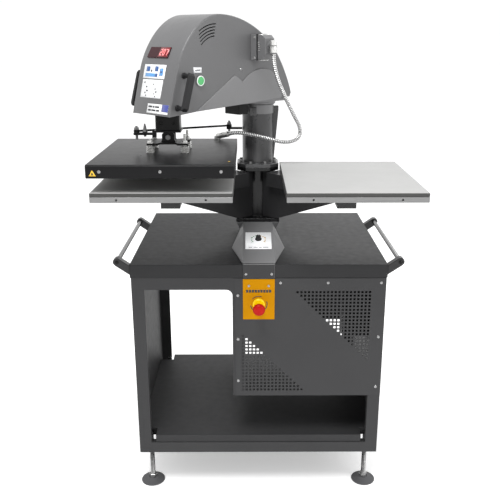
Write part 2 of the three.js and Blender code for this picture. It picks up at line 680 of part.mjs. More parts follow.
// Bow handle: two round posts on the dome's side, in line with its front edge, and a flat grip.
function frontHandle(side) {
  const { upper, lower, postRadius, gripHalf, inner, outer, overhang } = BOW;
  const foot = side * (HEAD.halfWidth + GAP);
  const half = Math.hypot(lower[0] - upper[0], upper[1] - lower[1]) / 2;
  const end = half + overhang;
  const lean = Math.atan2(lower[0] - upper[0], upper[1] - lower[1]);
  const grip = extrudeX(outline([[side * inner, -end], [side * (inner + 5), -end],
    [side * outer, -end + 8], [side * outer, end - 8], [side * (inner + 5), end],
    [side * inner, end]]), -gripHalf, gripHalf);
  const post = (z) => rodY(postRadius, Math.min(foot, side * (inner + 1)),
    Math.max(foot, side * (inner + 1)), 0, z, 14);
  return join(grip, post(-half), post(half)).rotateY(-lean)
    .translate((upper[0] + lower[0]) / 2, 0, (upper[1] + lower[1]) / 2);
}

// Push button drawn along +Z, with its bezel resting on the dome's side.
function startButton() {
  return turned([[0, 3.7], [13, 3.7], [15, 4.6], [15, 6], [12, 7], [0, 7]]);
}

function connectorBase() {
  return box(78, 123, HEAD.halfWidth + GAP, 116, 1405, 1483);
}

// Hood of the heater plug with its cable elbow, whose outlet points down.
function connectorHood() {
  const shell = extrudeX(outline([[116.3, 1407], [138, 1407], [150, 1422], [150, 1470], [138, 1481],
    [116.3, 1481]]), 80, 121);
  const elbow = rodY(10, 146, 165, 100, 1452, 16);
  const outlet = rodZ(10.5, 1424, 1463, 100, 165, 16);
  return join(shell, elbow, outlet);
}

function buildHead() {
  const head = new THREE.Group();
  head.position.y = COLUMN_Y;
  head.rotation.z = -0.75 * Math.PI;
  head.add(
    part('swing_hub', swingHub(), blackSteel),
    part('head_arm', headArm(), armPaint),
    part('head_cover', headCover(), headPaint),
    part('display_window', displayWindow(), darkGlass),
    part('front_handle_near', frontHandle(1), blackPlastic),
    part('front_handle_far', frontHandle(-1), blackPlastic),
    part('connector_base', connectorBase(), dieCast),
    part('connector_hood', connectorHood(), dieCast),
  );
  for (const [side, sign] of [['near', 1], ['far', -1]]) {
    const button = part(`start_button_${side}`, startButton(), greenPlastic);
    button.rotation.x = -sign * Math.PI / 2;
    button.position.set(START_BUTTON.t, sign * HEAD.halfWidth, START_BUTTON.z);
    head.add(button);
  }
  const cylinder = part('air_cylinder', airCylinder(), aluminium);
  cylinder.position.x = SWING_RADIUS;
  head.add(cylinder);
  return head;
}

// ---- press tool on the ram axis ----

function collarBlock() {
  const block = extrudeZ(roundedRectangle(COLLAR.half, COLLAR.half, 9), COLLAR.bottom, COLLAR.top, 4);
  return cut(block, rodZ(RAM_RADIUS + 0.4, 1190, 1260));
}

// Plate under the collar with the bar that carries the linkage pin, and the cone-headed adjuster.
function collarArm() {
  const plate = box(-40, 40, -40, 40, COLLAR.plateBottom, COLLAR.bottom - GAP);
  const barTop = LINK.ramZ - LINK.eye / 2 - 1;
  const drop = box(-50, -38, -9, 9, barTop - 2 * LINK.bar, COLLAR.bottom - GAP);
  const bar = linkBar(LINK.ramZ, LINK.offset - 9, -44);
  const pin = linkPin(LINK.ramZ, 26, 15).translate(LINK.offset, 0, 0);
  const adjuster = turned([[0, barTop - 12], [4, barTop - 12], [4, barTop - 6], [8, barTop - 6],
    [8, barTop + 3], [6, barTop + 8], [2.5, barTop + 26], [0, barTop + 28]], 16).translate(-73, 0, 0);
  return cut(join(plate, drop, bar, pin, adjuster), rodZ(RAM_RADIUS + 0.4, 1190, 1260));
}

function ram() {
  const rod = rodZ(RAM_RADIUS, 1199, 1346);
  const piston = rodZ(24.5, 1345, 1357, 0, 0, 28);
  const half = YOKE.slotHalf - GAP;
  const lug = box(-RAM_RADIUS, RAM_RADIUS, -half, half, YOKE.bottom + 4, 1199.5);
  return cut(join(rod, piston, lug), rodY(6.4, -20, 20, 0, YOKE.boltZ, 16));
}

// Fork whose two walls stand in front of and behind the lug on the ram.
function pressYoke() {
  const half = YOKE.width / 2;
  const front = outline([[-half - 3, YOKE.bottom], [half + 3, YOKE.bottom], [half, YOKE.bottom + 6],
    [half, YOKE.top - 6], [half - 6, YOKE.top], [-half + 6, YOKE.top], [-half, YOKE.top - 6],
    [-half, YOKE.bottom + 6]]);
  return cut(
    extrudeY(front, -YOKE.depth / 2, YOKE.depth / 2),
    box(-YOKE.width, YOKE.width, -YOKE.slotHalf, YOKE.slotHalf, YOKE.bottom + 3, YOKE.top + 10),
    rodY(6.4, -40, 40, 0, YOKE.boltZ, 16));
}

function pivotBolt() {
  const face = YOKE.depth / 2 + GAP;
  return join(
    rodY(6, -face - 1, face + 1, 0, YOKE.boltZ, 16),
    rodY(8.5, -face - 5, -face, 0, YOKE.boltZ, 6),
    rodY(8.5, face, face + 6, 0, YOKE.boltZ, 6));
}

// Four-armed plate that spreads the ram's force to the spring bolts.
function spiderPlate() {
  const reach = { x: SPIDER.boltX + 10, y: SPIDER.boltY + 10 };
  const waist = { x: 30, y: 24 };
  const plate = extrudeZ(outline([[-reach.x, -reach.y], [-waist.x, -reach.y], [-waist.x + 8, -34],
    [waist.x - 8, -34], [waist.x, -reach.y], [reach.x, -reach.y], [reach.x, -waist.y],
    [46, 0], [reach.x, waist.y], [reach.x, reach.y], [waist.x, reach.y], [waist.x - 8, 34],
    [-waist.x + 8, 34], [-waist.x, reach.y], [-reach.x, reach.y], [-reach.x, waist.y],
    [-46, 0], [-reach.x, -waist.y]]), SPIDER.bottom, SPIDER.top);
  const holes = [-1, 1].flatMap((sx) => [-1, 1].map((sy) =>
    rodZ(4.6, SPIDER.bottom - 5, SPIDER.top + 5, sx * SPIDER.boltX, sy * SPIDER.boltY, 14)));
  return cut(plate, ...holes);
}

// Bolt with its stack of disc springs under the spider and its nut above.
function springBolt(top) {
  const base = PLATEN.top + GAP;
  const profile = [[0, base]];
  for (let layer = 0; layer < SPRING_BOLT.layers; layer++) {
    const z = base + SPRING_BOLT.layer * layer;
    profile.push([SPRING_BOLT.packRadius, z], [SPRING_BOLT.packRadius, z + 3.4], [6, z + 3.8],
      [6, z + SPRING_BOLT.layer]);
  }
  profile.pop();
  profile.push([6, SPIDER.bottom - GAP], [4, SPIDER.bottom - GAP], [4, SPIDER.top + GAP],
    [10, SPIDER.top + GAP], [10, SPIDER.top + 2], [8, SPIDER.top + 2],
    [8, SPRING_BOLT.nutTop], [4, SPRING_BOLT.nutTop], [4, top], [0, top]);
  return turned(profile, 16);
}

// Folded cover of the heating plate with the heads of its three front screws.
function platenCover() {
  const half = { x: PLATEN.width / 2, y: PLATEN.depth / 2 };
  const round = 7;
  const profile = new THREE.Shape();
  profile.moveTo(-half.y + 2, PLATEN.bottom);
  profile.lineTo(half.y - 2, PLATEN.bottom);
  profile.lineTo(half.y, PLATEN.bottom + 2);
  profile.absarc(half.y - round, PLATEN.top - round, round, 0, Math.PI / 2);
  profile.absarc(-half.y + round, PLATEN.top - round, round, Math.PI / 2, Math.PI);
  profile.lineTo(-half.y, PLATEN.bottom + 2);
  const inner = { x: half.x - PLATEN.wall, y: half.y - PLATEN.wall };
  const screws = [-167, 1, 169].map((x) => rodY(4.5, -half.y - 1.6, -half.y + 1, x, PLATEN.screwZ, 12));
  return cut(
    join(extrudeX(profile, -half.x, half.x, 4), ...screws),
    box(-inner.x, inner.x, -inner.y, inner.y, PLATEN.bottom - 1, PLATEN.top - PLATEN.wall));
}

function heatingPlate() {
  const half = { x: PLATEN.width / 2 - PLATEN.wall - GAP, y: PLATEN.depth / 2 - PLATEN.wall - GAP };
  const slab = box(-half.x, half.x, -half.y, half.y, PLATEN.bottom, 1122);
  const posts = [-1, 1].flatMap((sx) => [-1, 1].map((sy) =>
    rodZ(9, 1121, PLATEN.top - PLATEN.wall - GAP, sx * SPIDER.boltX, sy * SPIDER.boltY, 14)));
  return join(slab, ...posts);
}

function buildPress() {
  const press = new THREE.Group();
  press.position.set(-STATION.x, STATION.y, 0);
  press.add(
    part('collar_block', collarBlock(), blackSteel),
    part('collar_arm', collarArm(), blackSteel),
    part('ram', ram(), steel),
    part('press_yoke', pressYoke(), blackSteel),
    part('pivot_bolt', pivotBolt(), steel),
    part('spider_plate', spiderPlate(), blackSteel),
    part('platen_cover', platenCover(), darkPaint),
    part('heating_plate', heatingPlate(), aluminium),
  );
  for (const [place, sy] of [['front', -1], ['rear', 1]]) {
    for (const [side, sx, top] of [['left', -1, SPRING_BOLT.leftTop], ['right', 1, SPRING_BOLT.rightTop]]) {
      const bolt = part(`spring_bolt_${place}_${side}`, springBolt(top), steel);
      bolt.position.set(sx * SPIDER.boltX, sy * SPIDER.boltY, 0);
      press.add(bolt);
    }
  }
  return press;
}

// ---- heater supply hose ----

const HOSE_ROUTE = [[46, -61.9, 1423.2], [46.4, -61.7, 1408], [50, -60, 1385], [59, -55, 1352],
  [74, -45, 1315], [94, -31, 1275], [117, -13, 1230], [134, 2, 1198], [139, 12, 1172], [130, 20, 1152],
  [108, 26, 1141], [78, 30, 1140], [42, 34, 1148], [4, 37, 1157], [-36, 40, 1165], [-66, 45, 1168],
  [-84, 52.5, 1166.3], [-99, 61.1, 1162]];

// Foot on the platen and the sloping sleeve that the hose leaves.
function hoseGland() {
  const foot = rodZ(11, PLATEN.top + GAP, 1153, -138, 84, 18);
  const sleeve = rodZ(9.5, 0, 46, 0, 0, 16).rotateY(1.33).rotateZ(-0.53).translate(-138, 84, 1151);
  return join(foot, sleeve);
}

export default (() => {
  const machine = new THREE.Group();
  machine.add(
    buildCabinet(), buildSideHandles(), buildControls(), buildStations(), buildHead(), buildPress(),
    part('hose_gland', hoseGland(), steel),
    part('power_hose', sweep(HOSE_ROUTE, HOSE_RADIUS, 40, 10), steel));
  return machine;
})();
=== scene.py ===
# Twin-station swing-head heat press, finished over its CAD frame.
# Metres, in the frame of the CAD: X right, Y away from the operator, Z up, origin on the floor.
import json
import math

import bmesh
import bpy
from mathutils import Matrix, Vector
from mathutils.geometry import tessellate_polygon


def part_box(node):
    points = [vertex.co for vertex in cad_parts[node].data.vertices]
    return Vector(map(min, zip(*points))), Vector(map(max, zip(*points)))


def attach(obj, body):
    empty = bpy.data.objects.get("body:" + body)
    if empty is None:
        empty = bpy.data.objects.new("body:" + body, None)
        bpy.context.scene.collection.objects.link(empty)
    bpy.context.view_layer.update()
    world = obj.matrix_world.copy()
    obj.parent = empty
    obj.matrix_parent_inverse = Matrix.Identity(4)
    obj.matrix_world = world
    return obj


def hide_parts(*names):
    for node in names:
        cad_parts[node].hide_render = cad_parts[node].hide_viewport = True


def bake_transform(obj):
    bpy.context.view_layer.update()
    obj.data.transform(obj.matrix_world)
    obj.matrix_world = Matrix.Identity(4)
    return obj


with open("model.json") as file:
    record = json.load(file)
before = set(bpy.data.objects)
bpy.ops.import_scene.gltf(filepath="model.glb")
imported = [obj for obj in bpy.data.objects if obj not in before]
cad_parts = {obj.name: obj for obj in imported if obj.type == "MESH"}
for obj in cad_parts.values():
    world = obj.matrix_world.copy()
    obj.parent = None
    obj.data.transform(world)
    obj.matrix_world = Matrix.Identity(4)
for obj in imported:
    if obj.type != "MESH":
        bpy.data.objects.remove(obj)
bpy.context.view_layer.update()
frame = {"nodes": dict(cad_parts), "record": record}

RECORD = frame["record"]
BODY_OF = {node: body for body, nodes in RECORD["behaviour"]["bodies"].items() for node in nodes}
SLOT_OF = {part["node"]: part["material_slot"] for part in RECORD["subparts"]}

MM = 0.001
SHARP = math.radians(30)
WELD = 1e-6
PANEL_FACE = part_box("front_panel")[0].y
ESTOP_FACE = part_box("estop_plate")[0].y
FLAP_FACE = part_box("control_hood")[0].y
PLATEN_LOW, PLATEN_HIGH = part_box("platen_cover")
PLATEN_FACE = PLATEN_LOW.y + 1.6 * MM
COLLAR_LOW, COLLAR_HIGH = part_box("collar_block")
RAM_AXIS = (COLLAR_LOW + COLLAR_HIGH) / 2
COLUMN = Vector((0, 0.1255, 0))
FLANGE_TOP = 1.059
ESTOP_Z = 0.670
KNOB_Y = -0.122
HEAD_HALF = 0.088

# Turns the head's own frame into the CAD's: +X from the column towards the ram, +Y out of the near side.
HEAD = Matrix.Translation(COLUMN) @ Matrix.Rotation(math.radians(-135), 4, "Z")


# ---- camera ----

def make_camera():
    camera = bpy.data.objects.new("camera", bpy.data.cameras.new("camera"))
    camera.data.lens = 50.08
    camera.data.shift_x = -0.0064
    camera.location = (-0.0275, -2.294, 1.485)
    camera.rotation_euler = (math.radians(72.71), 0, math.radians(-0.28))
    bpy.context.scene.collection.objects.link(camera)
    bpy.context.scene.camera = camera


# ---- meshes ----

def shade(mesh, angle=SHARP):
    mesh.shade_smooth()
    mesh.set_sharp_from_angle(angle=angle)


def piece(name, bm, material, body, slot, place=None, replaces=(), angle=SHARP):
    """Turns a bmesh into a piece of the object that rides on a body."""
    mesh = bpy.data.meshes.new(name)
    bmesh.ops.recalc_face_normals(bm, faces=bm.faces)
    if place is not None:
        bm.transform(place)
    bm.to_mesh(mesh)
    bm.free()
    shade(mesh, angle)
    made = bpy.data.objects.new(name, mesh)
    mesh.materials.append(MATERIALS[material])
    bpy.context.scene.collection.objects.link(made)
    if body:
        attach(made, body)
    if replaces:
        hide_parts(*replaces)
    return made


def replacement(node, bm, material, place=None, ending="_finish"):
    """A piece that takes a CAD node's place, on the node's body."""
    return piece(node + ending, bm, material, BODY_OF[node], SLOT_OF[node], place, [node])


def refined(node, material, width=0.8, segments=2):
    """The CAD node's shape with its sharp edges rounded by a width in millimetres, to catch the light."""
    bm = bmesh.new()
    bm.from_mesh(frame["nodes"][node].data)
    bmesh.ops.remove_doubles(bm, verts=bm.verts, dist=WELD)
    bmesh.ops.dissolve_limit(bm, angle_limit=math.radians(0.3), verts=bm.verts, edges=bm.edges)
    made = replacement(node, bm, material)
    bevel = made.modifiers.new("edges", "BEVEL")
    bevel.width = width * MM
    bevel.segments = segments
    bevel.limit_method = "ANGLE"
    bevel.angle_limit = SHARP
    bevel.use_clamp_overlap = False
    bevel.harden_normals = True
    return made


def second_finish(made, material, chosen):
    """Gives the faces whose centre and normal are chosen a material of their own."""
    made.data.materials.append(MATERIALS[material])
    for face in made.data.polygons:
        if chosen(face.center, face.normal):
            face.material_index = len(made.data.materials) - 1


def ring(bm, radius, z, sides):
    """One turn of points; radius is a number, or a function of the angle."""
    points = []
    for k in range(sides):
        angle = 2 * math.pi * k / sides
        r = radius(angle) if callable(radius) else radius
        points.append(bm.verts.new((r * math.cos(angle), r * math.sin(angle), z)))
    return points


def lathe(profile, sides=40, bm=None, place=None):
    """Body of revolution about Z from (radius, height) points; a radius of 0 closes an end."""
    bm = bm or bmesh.new()
    rings = [[bm.verts.new((0, 0, z))] if r == 0 else ring(bm, r, z, sides) for r, z in profile]
    for low, high in zip(rings, rings[1:]):
        for k in range(sides):
            n = (k + 1) % sides
            corners = [low[0]] if len(low) == 1 else [low[k], low[n]]
            corners += [high[0]] if len(high) == 1 else [high[n], high[k]]
            bm.faces.new(corners)
    if place is not None:
        bmesh.ops.transform(bm, matrix=place, verts=[v for turn in rings for v in turn])
    return bm


def mm(points):
    """Points given in millimetres, now in metres; a function of the angle already gives metres."""
    return [tuple(c if callable(c) else c * MM for c in point) for point in points]


def slab(low, high, bm=None):
    bm = bm or bmesh.new()
    low, high = Vector(low), Vector(high)
    matrix = Matrix.Translation((low + high) / 2) @ Matrix.Diagonal((*(high - low), 1))
    bmesh.ops.create_cube(bm, size=1, matrix=matrix)
    return bm


def plate(bm, loops, low, high):
    """Flat sheet between two heights of local Y; the first loop of (x, z) points is its rim."""
    flat = [Vector((x, z, 0)) for loop in loops for x, z in loop]
    faces = tessellate_polygon([[Vector((x, z, 0)) for x, z in loop] for loop in loops])
    sides = [[bm.verts.new((p.x, w, p.y)) for p in flat] for w in (low, high)]
    for verts in sides:
        for corners in faces:
            bm.faces.new([verts[k] for k in corners])
    start = 0
    for loop in loops:
        for k in range(len(loop)):
            a, b = start + k, start + (k + 1) % len(loop)
            bm.faces.new((sides[0][a], sides[0][b], sides[1][b], sides[1][a]))
        start += len(loop)


def facing(position, direction):
    """Places a shape drawn along +Z at a point, pointing in a direction."""
    turn = Vector(direction).to_track_quat("Z", "Y").to_matrix().to_4x4()
    return Matrix.Translation(position) @ turn


def spline(points, per_span):
    """Centripetal Catmull-Rom curve through the points."""
    knots = [Vector(p) for p in points]
    knots = [2 * knots[0] - knots[1], *knots, 2 * knots[-1] - knots[-2]]
    line = []
    for a, b, c, d in zip(knots, knots[1:], knots[2:], knots[3:]):
        t1 = math.sqrt((b - a).length)
        t2 = t1 + math.sqrt((c - b).length)
        t3 = t2 + math.sqrt((d - c).length)
        for k in range(per_span):
            t = t1 + (t2 - t1) * k / per_span
            ab = a + (b - a) * (t / t1)
            bc = b + (c - b) * ((t - t1) / (t2 - t1))
            cd = c + (d - c) * ((t - t2) / (t3 - t2))
            abc = ab + (bc - ab) * (t / t2)
            bcd = bc + (cd - bc) * ((t - t1) / (t3 - t1))
            line.append(abc + (bcd - abc) * ((t - t1) / (t2 - t1)))
    line.append(knots[-2])
    return line


def resample(line, step):
    """The same line with points a fixed distance apart."""
    total = sum((b - a).length for a, b in zip(line, line[1:]))
    count = max(2, round(total / step))
    points, travelled, index = [line[0]], 0.0, 0
    for k in range(1, count):
        goal = total * k / count
        while travelled + (line[index + 1] - line[index]).length < goal:
            travelled += (line[index + 1] - line[index]).length
            index += 1
        span = line[index + 1] - line[index]
        points.append(line[index] + span * ((goal - travelled) / span.length))
    return points + [line[-1]]


def tube(line, radius, sides=20, bm=None):
    """Round tube with closed ends along a line; radius may be a function of the point's index."""
    bm = bm or bmesh.new()
    across = (line[1] - line[0]).orthogonal().normalized()
    rings = []
    for k, point in enumerate(line):
        along = (line[min(k + 1, len(line) - 1)] - line[max(k - 1, 0)]).normalized()
        across = (across - across.dot(along) * along).normalized()
        other = along.cross(across)
        r = radius(k) if callable(radius) else radius
        angles = [2 * math.pi * n / sides for n in range(sides)]
        rings.append([bm.verts.new(point + r * (math.cos(a) * across + math.sin(a) * other))
                      for a in angles])
    for low, high in zip(rings, rings[1:]):
        for k in range(sides):
            n = (k + 1) % sides
            bm.faces.new((low[k], low[n], high[n], high[k]))
    bm.faces.new(reversed(rings[0]))
    bm.faces.new(rings[-1])
    return bm


# ---- materials ----

def srgb(*levels):
    """Linear colour of 0 to 255 display levels."""
    parts = [level / 255 for level in levels]
    return tuple(p / 12.92 if p <= 0.04045 else ((p + 0.055) / 1.055) ** 2.4 for p in parts) + (1.0,)


def scaled(color, factor):
    return tuple(min(1.0, c * factor) for c in color[:3]) + (1.0,)


def node(tree, kind, inputs=None, **settings):
    made = tree.nodes.new("ShaderNode" + kind)
    for name, value in settings.items():
        setattr(made, name, value)
    for name, value in (inputs or {}).items():
        if isinstance(value, bpy.types.NodeSocket):
            tree.links.new(value, made.inputs[name])
        else:
            made.inputs[name].default_value = value
    return made


def mixed(tree, factor, a, b):
    """Colour between a and b."""
    mix = node(tree, "Mix", data_type="RGBA")
    for socket, value in ((mix.inputs[0], factor), (mix.inputs[6], a), (mix.inputs[7], b)):
        if isinstance(value, bpy.types.NodeSocket):
            tree.links.new(value, socket)
        else:
            socket.default_value = value
    return mix.outputs[2]


def ranged(tree, value, low, high, to_low, to_high):
    inputs = {"Value": value, "From Min": low, "From Max": high, "To Min": to_low, "To Max": to_high}
    return node(tree, "MapRange", inputs).outputs[0]


def edge_mask(tree, noise, radius):
    """1 on outer edges, partly scuffed and partly painted highlight: where the rounded normal leaves the true
    one, broken up by noise.
    """
    rounded = node(tree, "Bevel", {"Radius": radius}, samples=4)
    geometry = node(tree, "NewGeometry")
    dot = node(tree, "VectorMath", {0: rounded.outputs[0], 1: geometry.outputs["Normal"]},
               operation="DOT_PRODUCT")
    edge = ranged(tree, dot.outputs["Value"], 0.97, 0.86, 0.0, 1.0)
    patchy = ranged(tree, noise, 0.52, 0.62, 0.0, 1.0)
    return node(tree, "Math", {0: edge, 1: patchy}, operation="MULTIPLY").outputs[0]


def surface(name, color, roughness, metallic=0.0, grain=900.0, depth=0.00005, stretch=(1, 1, 1),
            variation=0.05, spread=0.05, scuff_and_highlight_color=None, scuff_and_highlight_radius=0.0, coat=0.0, gloss=0.5):
    """Procedural finish: cloudy colour, fine grained bump, uneven roughness, and outer edges lightened partly
    by scuffing and partly as painted highlight.
    """
    material = bpy.data.materials.new(name)
    material.use_nodes = True
    tree = material.node_tree
    shader = tree.nodes["Principled BSDF"]
    place = node(tree, "TexCoord").outputs["Object"]
    lined = node(tree, "Mapping", {"Vector": place, "Scale": stretch}).outputs[0]
    clouds, smudge, fine = [
        node(tree, "TexNoise", {"Vector": vector, "Scale": scale, "Detail": detail}).outputs[0]
        for vector, scale, detail in ((place, 7.0, 4.0), (place, 45.0, 3.0), (lined, grain, 2.0))]
    tone = ranged(tree, clouds, 0.3, 0.7, 0.0, 1.0)
    base = mixed(tree, tone, scaled(color, 1 - variation), scaled(color, 1 + variation))
    rough = ranged(tree, smudge, 0.3, 0.7, roughness - spread, roughness + spread)
    shader.inputs["Metallic"].default_value = metallic
    # Outer edges turn lighter and more metallic: partly scuffing, partly a painted highlight along the edges.
    if scuff_and_highlight_radius:
        mask = edge_mask(tree, smudge, scuff_and_highlight_radius)
        base = mixed(tree, mask, base, scuff_and_highlight_color)
        tree.links.new(ranged(tree, mask, 0.0, 1.0, metallic, 0.8), shader.inputs["Metallic"])
    bump = node(tree, "Bump", {"Height": fine, "Distance": depth, "Strength": 0.6})
    tree.links.new(base, shader.inputs["Base Color"])
    tree.links.new(rough, shader.inputs["Roughness"])
    tree.links.new(bump.outputs[0], shader.inputs["Normal"])
    shader.inputs["Coat Weight"].default_value = coat
    shader.inputs["Specular IOR Level"].default_value = gloss
    return material


def powder_coat(name, level, roughness=0.5, grain=700.0, depth=0.00007, gloss=0.25, variation=0.04):
    color = srgb(level, level, level + 1)
    return surface(name, color, roughness, grain=grain, depth=depth, variation=variation, spread=variation,
                   scuff_and_highlight_color=scaled(color, 2.2), scuff_and_highlight_radius=1.0 * MM, gloss=gloss)


def blackened(name, level, roughness=0.38):
    return surface(name, srgb(level, level, level), roughness, metallic=0.55, grain=500.0,
                   scuff_and_highlight_color=srgb(120, 118, 116), scuff_and_highlight_radius=0.8 * MM, gloss=0.3)


def brushed(name, level, roughness, stretch):
    return surface(name, srgb(level, level, level), roughness, metallic=1.0, grain=160.0, depth=0.00006,
                   stretch=stretch, scuff_and_highlight_color=srgb(235, 235, 235), scuff_and_highlight_radius=0.8 * MM)


def moulded(name, color, roughness=0.45, coat=0.0, gloss=0.3):
    return surface(name, color, roughness, grain=1400.0, depth=0.00006, coat=coat,
                   scuff_and_highlight_color=scaled(color, 1.8), scuff_and_highlight_radius=0.7 * MM, gloss=gloss)


def printed(name, color):
    return surface(name, color, 0.35, grain=2500.0, depth=0.00001, variation=0.02, coat=0.3)


def glowing(name, color, strength):
    material = printed(name, color)
    shader = material.node_tree.nodes["Principled BSDF"]
    shader.inputs["Emission Color"].default_value = color
    shader.inputs["Emission Strength"].default_value = strength
    return material


def sponge(name):
    """Silicone sponge: pale face, sides painted darker as painted shade, and a fine pitted grain."""
    material = surface(name, srgb(170, 170, 169), 0.72, grain=350.0, depth=0.00015, variation=0.03,
                       gloss=0.25)
    tree = material.node_tree
    shader = tree.nodes["Principled BSDF"]
    face = shader.inputs["Base Color"].links[0].from_socket
    # Faces that do not point up take a dark grey: painted shade on the pad's sides.
    up = node(tree, "SeparateXYZ", {0: node(tree, "NewGeometry").outputs["Normal"]}).outputs["Z"]
    top = ranged(tree, up, 0.3, 0.8, 0.0, 1.0)
    tree.links.new(mixed(tree, top, srgb(72, 72, 71), face), shader.inputs["Base Color"])
    return material


MATERIALS = {
    "tray": powder_coat("tray_powder_coat", 46, roughness=0.55, depth=0.00004, gloss=0.2),
    "cabinet": powder_coat("cabinet_powder_coat", 56),
    "panel": powder_coat("panel_powder_coat", 58),
    "shelf": powder_coat("shelf_powder_coat", 50),
    # The hood's paint is the cabinet's paint made lighter: painted light on the hood's slope and on the
    # pedestal base.
    "hood": powder_coat("hood_powder_coat", 126, roughness=0.45),
    "head": powder_coat("head_powder_coat", 99, roughness=0.34, gloss=0.5),
    "arm": powder_coat("arm_powder_coat", 122, gloss=0.4),
    "platen": powder_coat("platen_enamel", 26, roughness=0.32, depth=0.00002, gloss=0.12, variation=0.015),
    "black": powder_coat("black_satin_paint", 42, roughness=0.34, gloss=0.35),
    "column": powder_coat("column_paint", 62, roughness=0.3, gloss=0.6),
    "pedestal": powder_coat("pedestal_paint", 22, roughness=0.22, gloss=0.35),
    "band": powder_coat("column_band", 118, roughness=0.32, gloss=0.6),
    "bolt": blackened("bolt_steel", 120, roughness=0.3),
    "equipment": powder_coat("equipment_paint", 34, roughness=0.6),
    "steel_black": blackened("blackened_steel", 26),
    "die_cast": powder_coat("die_cast_grey", 108, roughness=0.4, grain=420.0),
    "gasket": moulded("gasket_rubber", srgb(18, 18, 19), 0.6),
    "steel": brushed("zinc_plated_steel", 158, 0.28, (1, 1, 6)),
    "ground": brushed("ground_steel", 190, 0.22, (1, 1, 30)),
    "tube": brushed("polished_tube", 116, 0.16, (1, 0.05, 1)),
    "aluminium": brushed("milled_aluminium", 146, 0.34, (0.08, 1, 1)),
    "grip": moulded("black_grip", srgb(34, 34, 35), 0.38),
    "foot": moulded("foot_rubber", srgb(84, 84, 86), 0.6),
    "yellow_plate": surface("yellow_enamel", srgb(190, 130, 0), 0.5, scuff_and_highlight_color=srgb(150, 148, 145),
                            scuff_and_highlight_radius=0.8 * MM, gloss=0.06),
    "yellow": moulded("yellow_plastic", srgb(246, 204, 0), 0.35),
    "red": moulded("red_plastic", srgb(176, 12, 4), 0.4, gloss=0.2),
    "green": moulded("green_plastic", srgb(84, 178, 108), 0.3, coat=0.4),
    "white_ring": moulded("white_plastic", srgb(226, 232, 228), 0.35),
    "label": printed("label_white", srgb(250, 251, 252)),
    # White label with a faint glow: painted light that lifts it out of the shade under the plates.
    "label_bright": glowing("label_bright", srgb(240, 241, 242), 0.3),
    "ink": printed("ink_dark", srgb(36, 38, 44)),
    "ink_grey": printed("ink_grey", srgb(128, 130, 134)),
    "tick_green": printed("tick_green", srgb(64, 138, 84)),
    "tick_yellow": printed("tick_yellow", srgb(206, 158, 48)),
    "key_blue": printed("key_blue", srgb(96, 156, 214)),
    "key_dark": printed("key_dark_blue", srgb(54, 92, 150)),
    "mark_blue": printed("mark_indigo", srgb(74, 84, 158)),
    "caution": printed("caution_yellow", srgb(240, 196, 40)),
    "window": surface("display_window", srgb(52, 12, 20), 0.12, grain=2000.0, depth=0.000005, gloss=0.3),
    "lit": glowing("display_lit", srgb(118, 8, 18), 0.12),
    "digit": glowing("display_digit", srgb(255, 150, 150), 0.75),
    "silicone": sponge("silicone_sponge"),
    "conduit": surface("conduit_steel", srgb(226, 226, 226), 0.26, 0.85, grain=600.0),
    # Dark grey for the conduit's grooves: painted shade in the recesses.
    "groove": surface("conduit_groove", srgb(70, 70, 70), 0.45, 0.6, grain=600.0),
    "gland": surface("gland_nickel", srgb(228, 228, 226), 0.26, 0.8, grain=700.0, depth=0.00003),
}


# ---- heater supply hose ----

HOSE_RADIUS = 7 * MM
HOSE_ROUTE = [Vector(p) * MM for p in (
    (46, -61.9, 1423.2), (46.4, -61.7, 1408), (50, -60, 1385), (59, -55, 1352),
    (74, -45, 1315), (94, -31, 1275), (117, -13, 1230), (134, 2, 1198), (139, 12, 1172), (130, 20, 1152),
    (108, 26, 1141), (78, 30, 1140), (42, 34, 1148), (4, 37, 1157), (-36, 40, 1165), (-66, 45, 1168),
    (-84, 52.5, 1166.3), (-99, 61.1, 1162))]
HOSE_SPLIT = 13
HOSE_SIDES = 18
RIB_PITCH = 6 * MM
RIB_DEPTHS = (0.0, 0.2 * MM, 1.5 * MM, 1.5 * MM)
GROOVE_STEP = 2


def hose_piece(name, line):
    """Ribbed conduit along part of the route."""
    steps = len(RIB_DEPTHS)
    points = resample(line, RIB_PITCH / steps)
    bm = tube(points, lambda k: HOSE_RADIUS - RIB_DEPTHS[k % steps], HOSE_SIDES)
    made = piece(name, bm, "conduit", None, "braid", replaces=["power_hose"], angle=math.radians(50))
    # The deepest ring of each rib takes the dark grey: painted shade in the grooves.
    made.data.materials.append(MATERIALS["groove"])
    for face in made.data.polygons:
        if face.index // HOSE_SIDES % steps == GROOVE_STEP:
            face.material_index = 1
    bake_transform(made)
    resample(line, 5 * MM)


def make_hose():
    """The hose in two pieces: the long loop, and the last stretch."""
    per_span = 12
    line = spline(HOSE_ROUTE, per_span)
    split = HOSE_SPLIT * per_span
    hose_piece("hose_upper", line[:split + 1])
    hose_piece("hose_lower", line[split:])


# ---- cabinet ----

PANEL_HOLE = {"pitch": 12, "half": 3.6, "stop": 11.5}
# Square corner of each triangle of holes, the way its rows run, and their number.
HOLE_TRIANGLES = (((350, 709), -1, 20), ((-51, 368), 1, 17))
PANEL_SCREWS = ((-66, 698), (-66, 548), (-66, 400), (68, 740), (217, 740), (384, 740), (384, 555), (384, 377))


def panel_holes():
    """Centres of the square holes: rows of each triangle, counted from its square corner."""
    pitch = PANEL_HOLE["pitch"]
    return [((x + way * column * pitch) * MM, (z + way * row * pitch) * MM)
            for (x, z), way, rows in HOLE_TRIANGLES for row in range(rows) for column in range(rows - row)]


def rectangle(left, foot, right, top):
    return [(left, foot), (right, foot), (right, top), (left, top)]


def outline_spline(data, points):
    line = data.splines.new("POLY")
    line.points.add(len(points) - 1)
    for target, (x, z) in zip(line.points, points):
        target.co = (x, z, 0, 1)
    line.use_cyclic_u = True


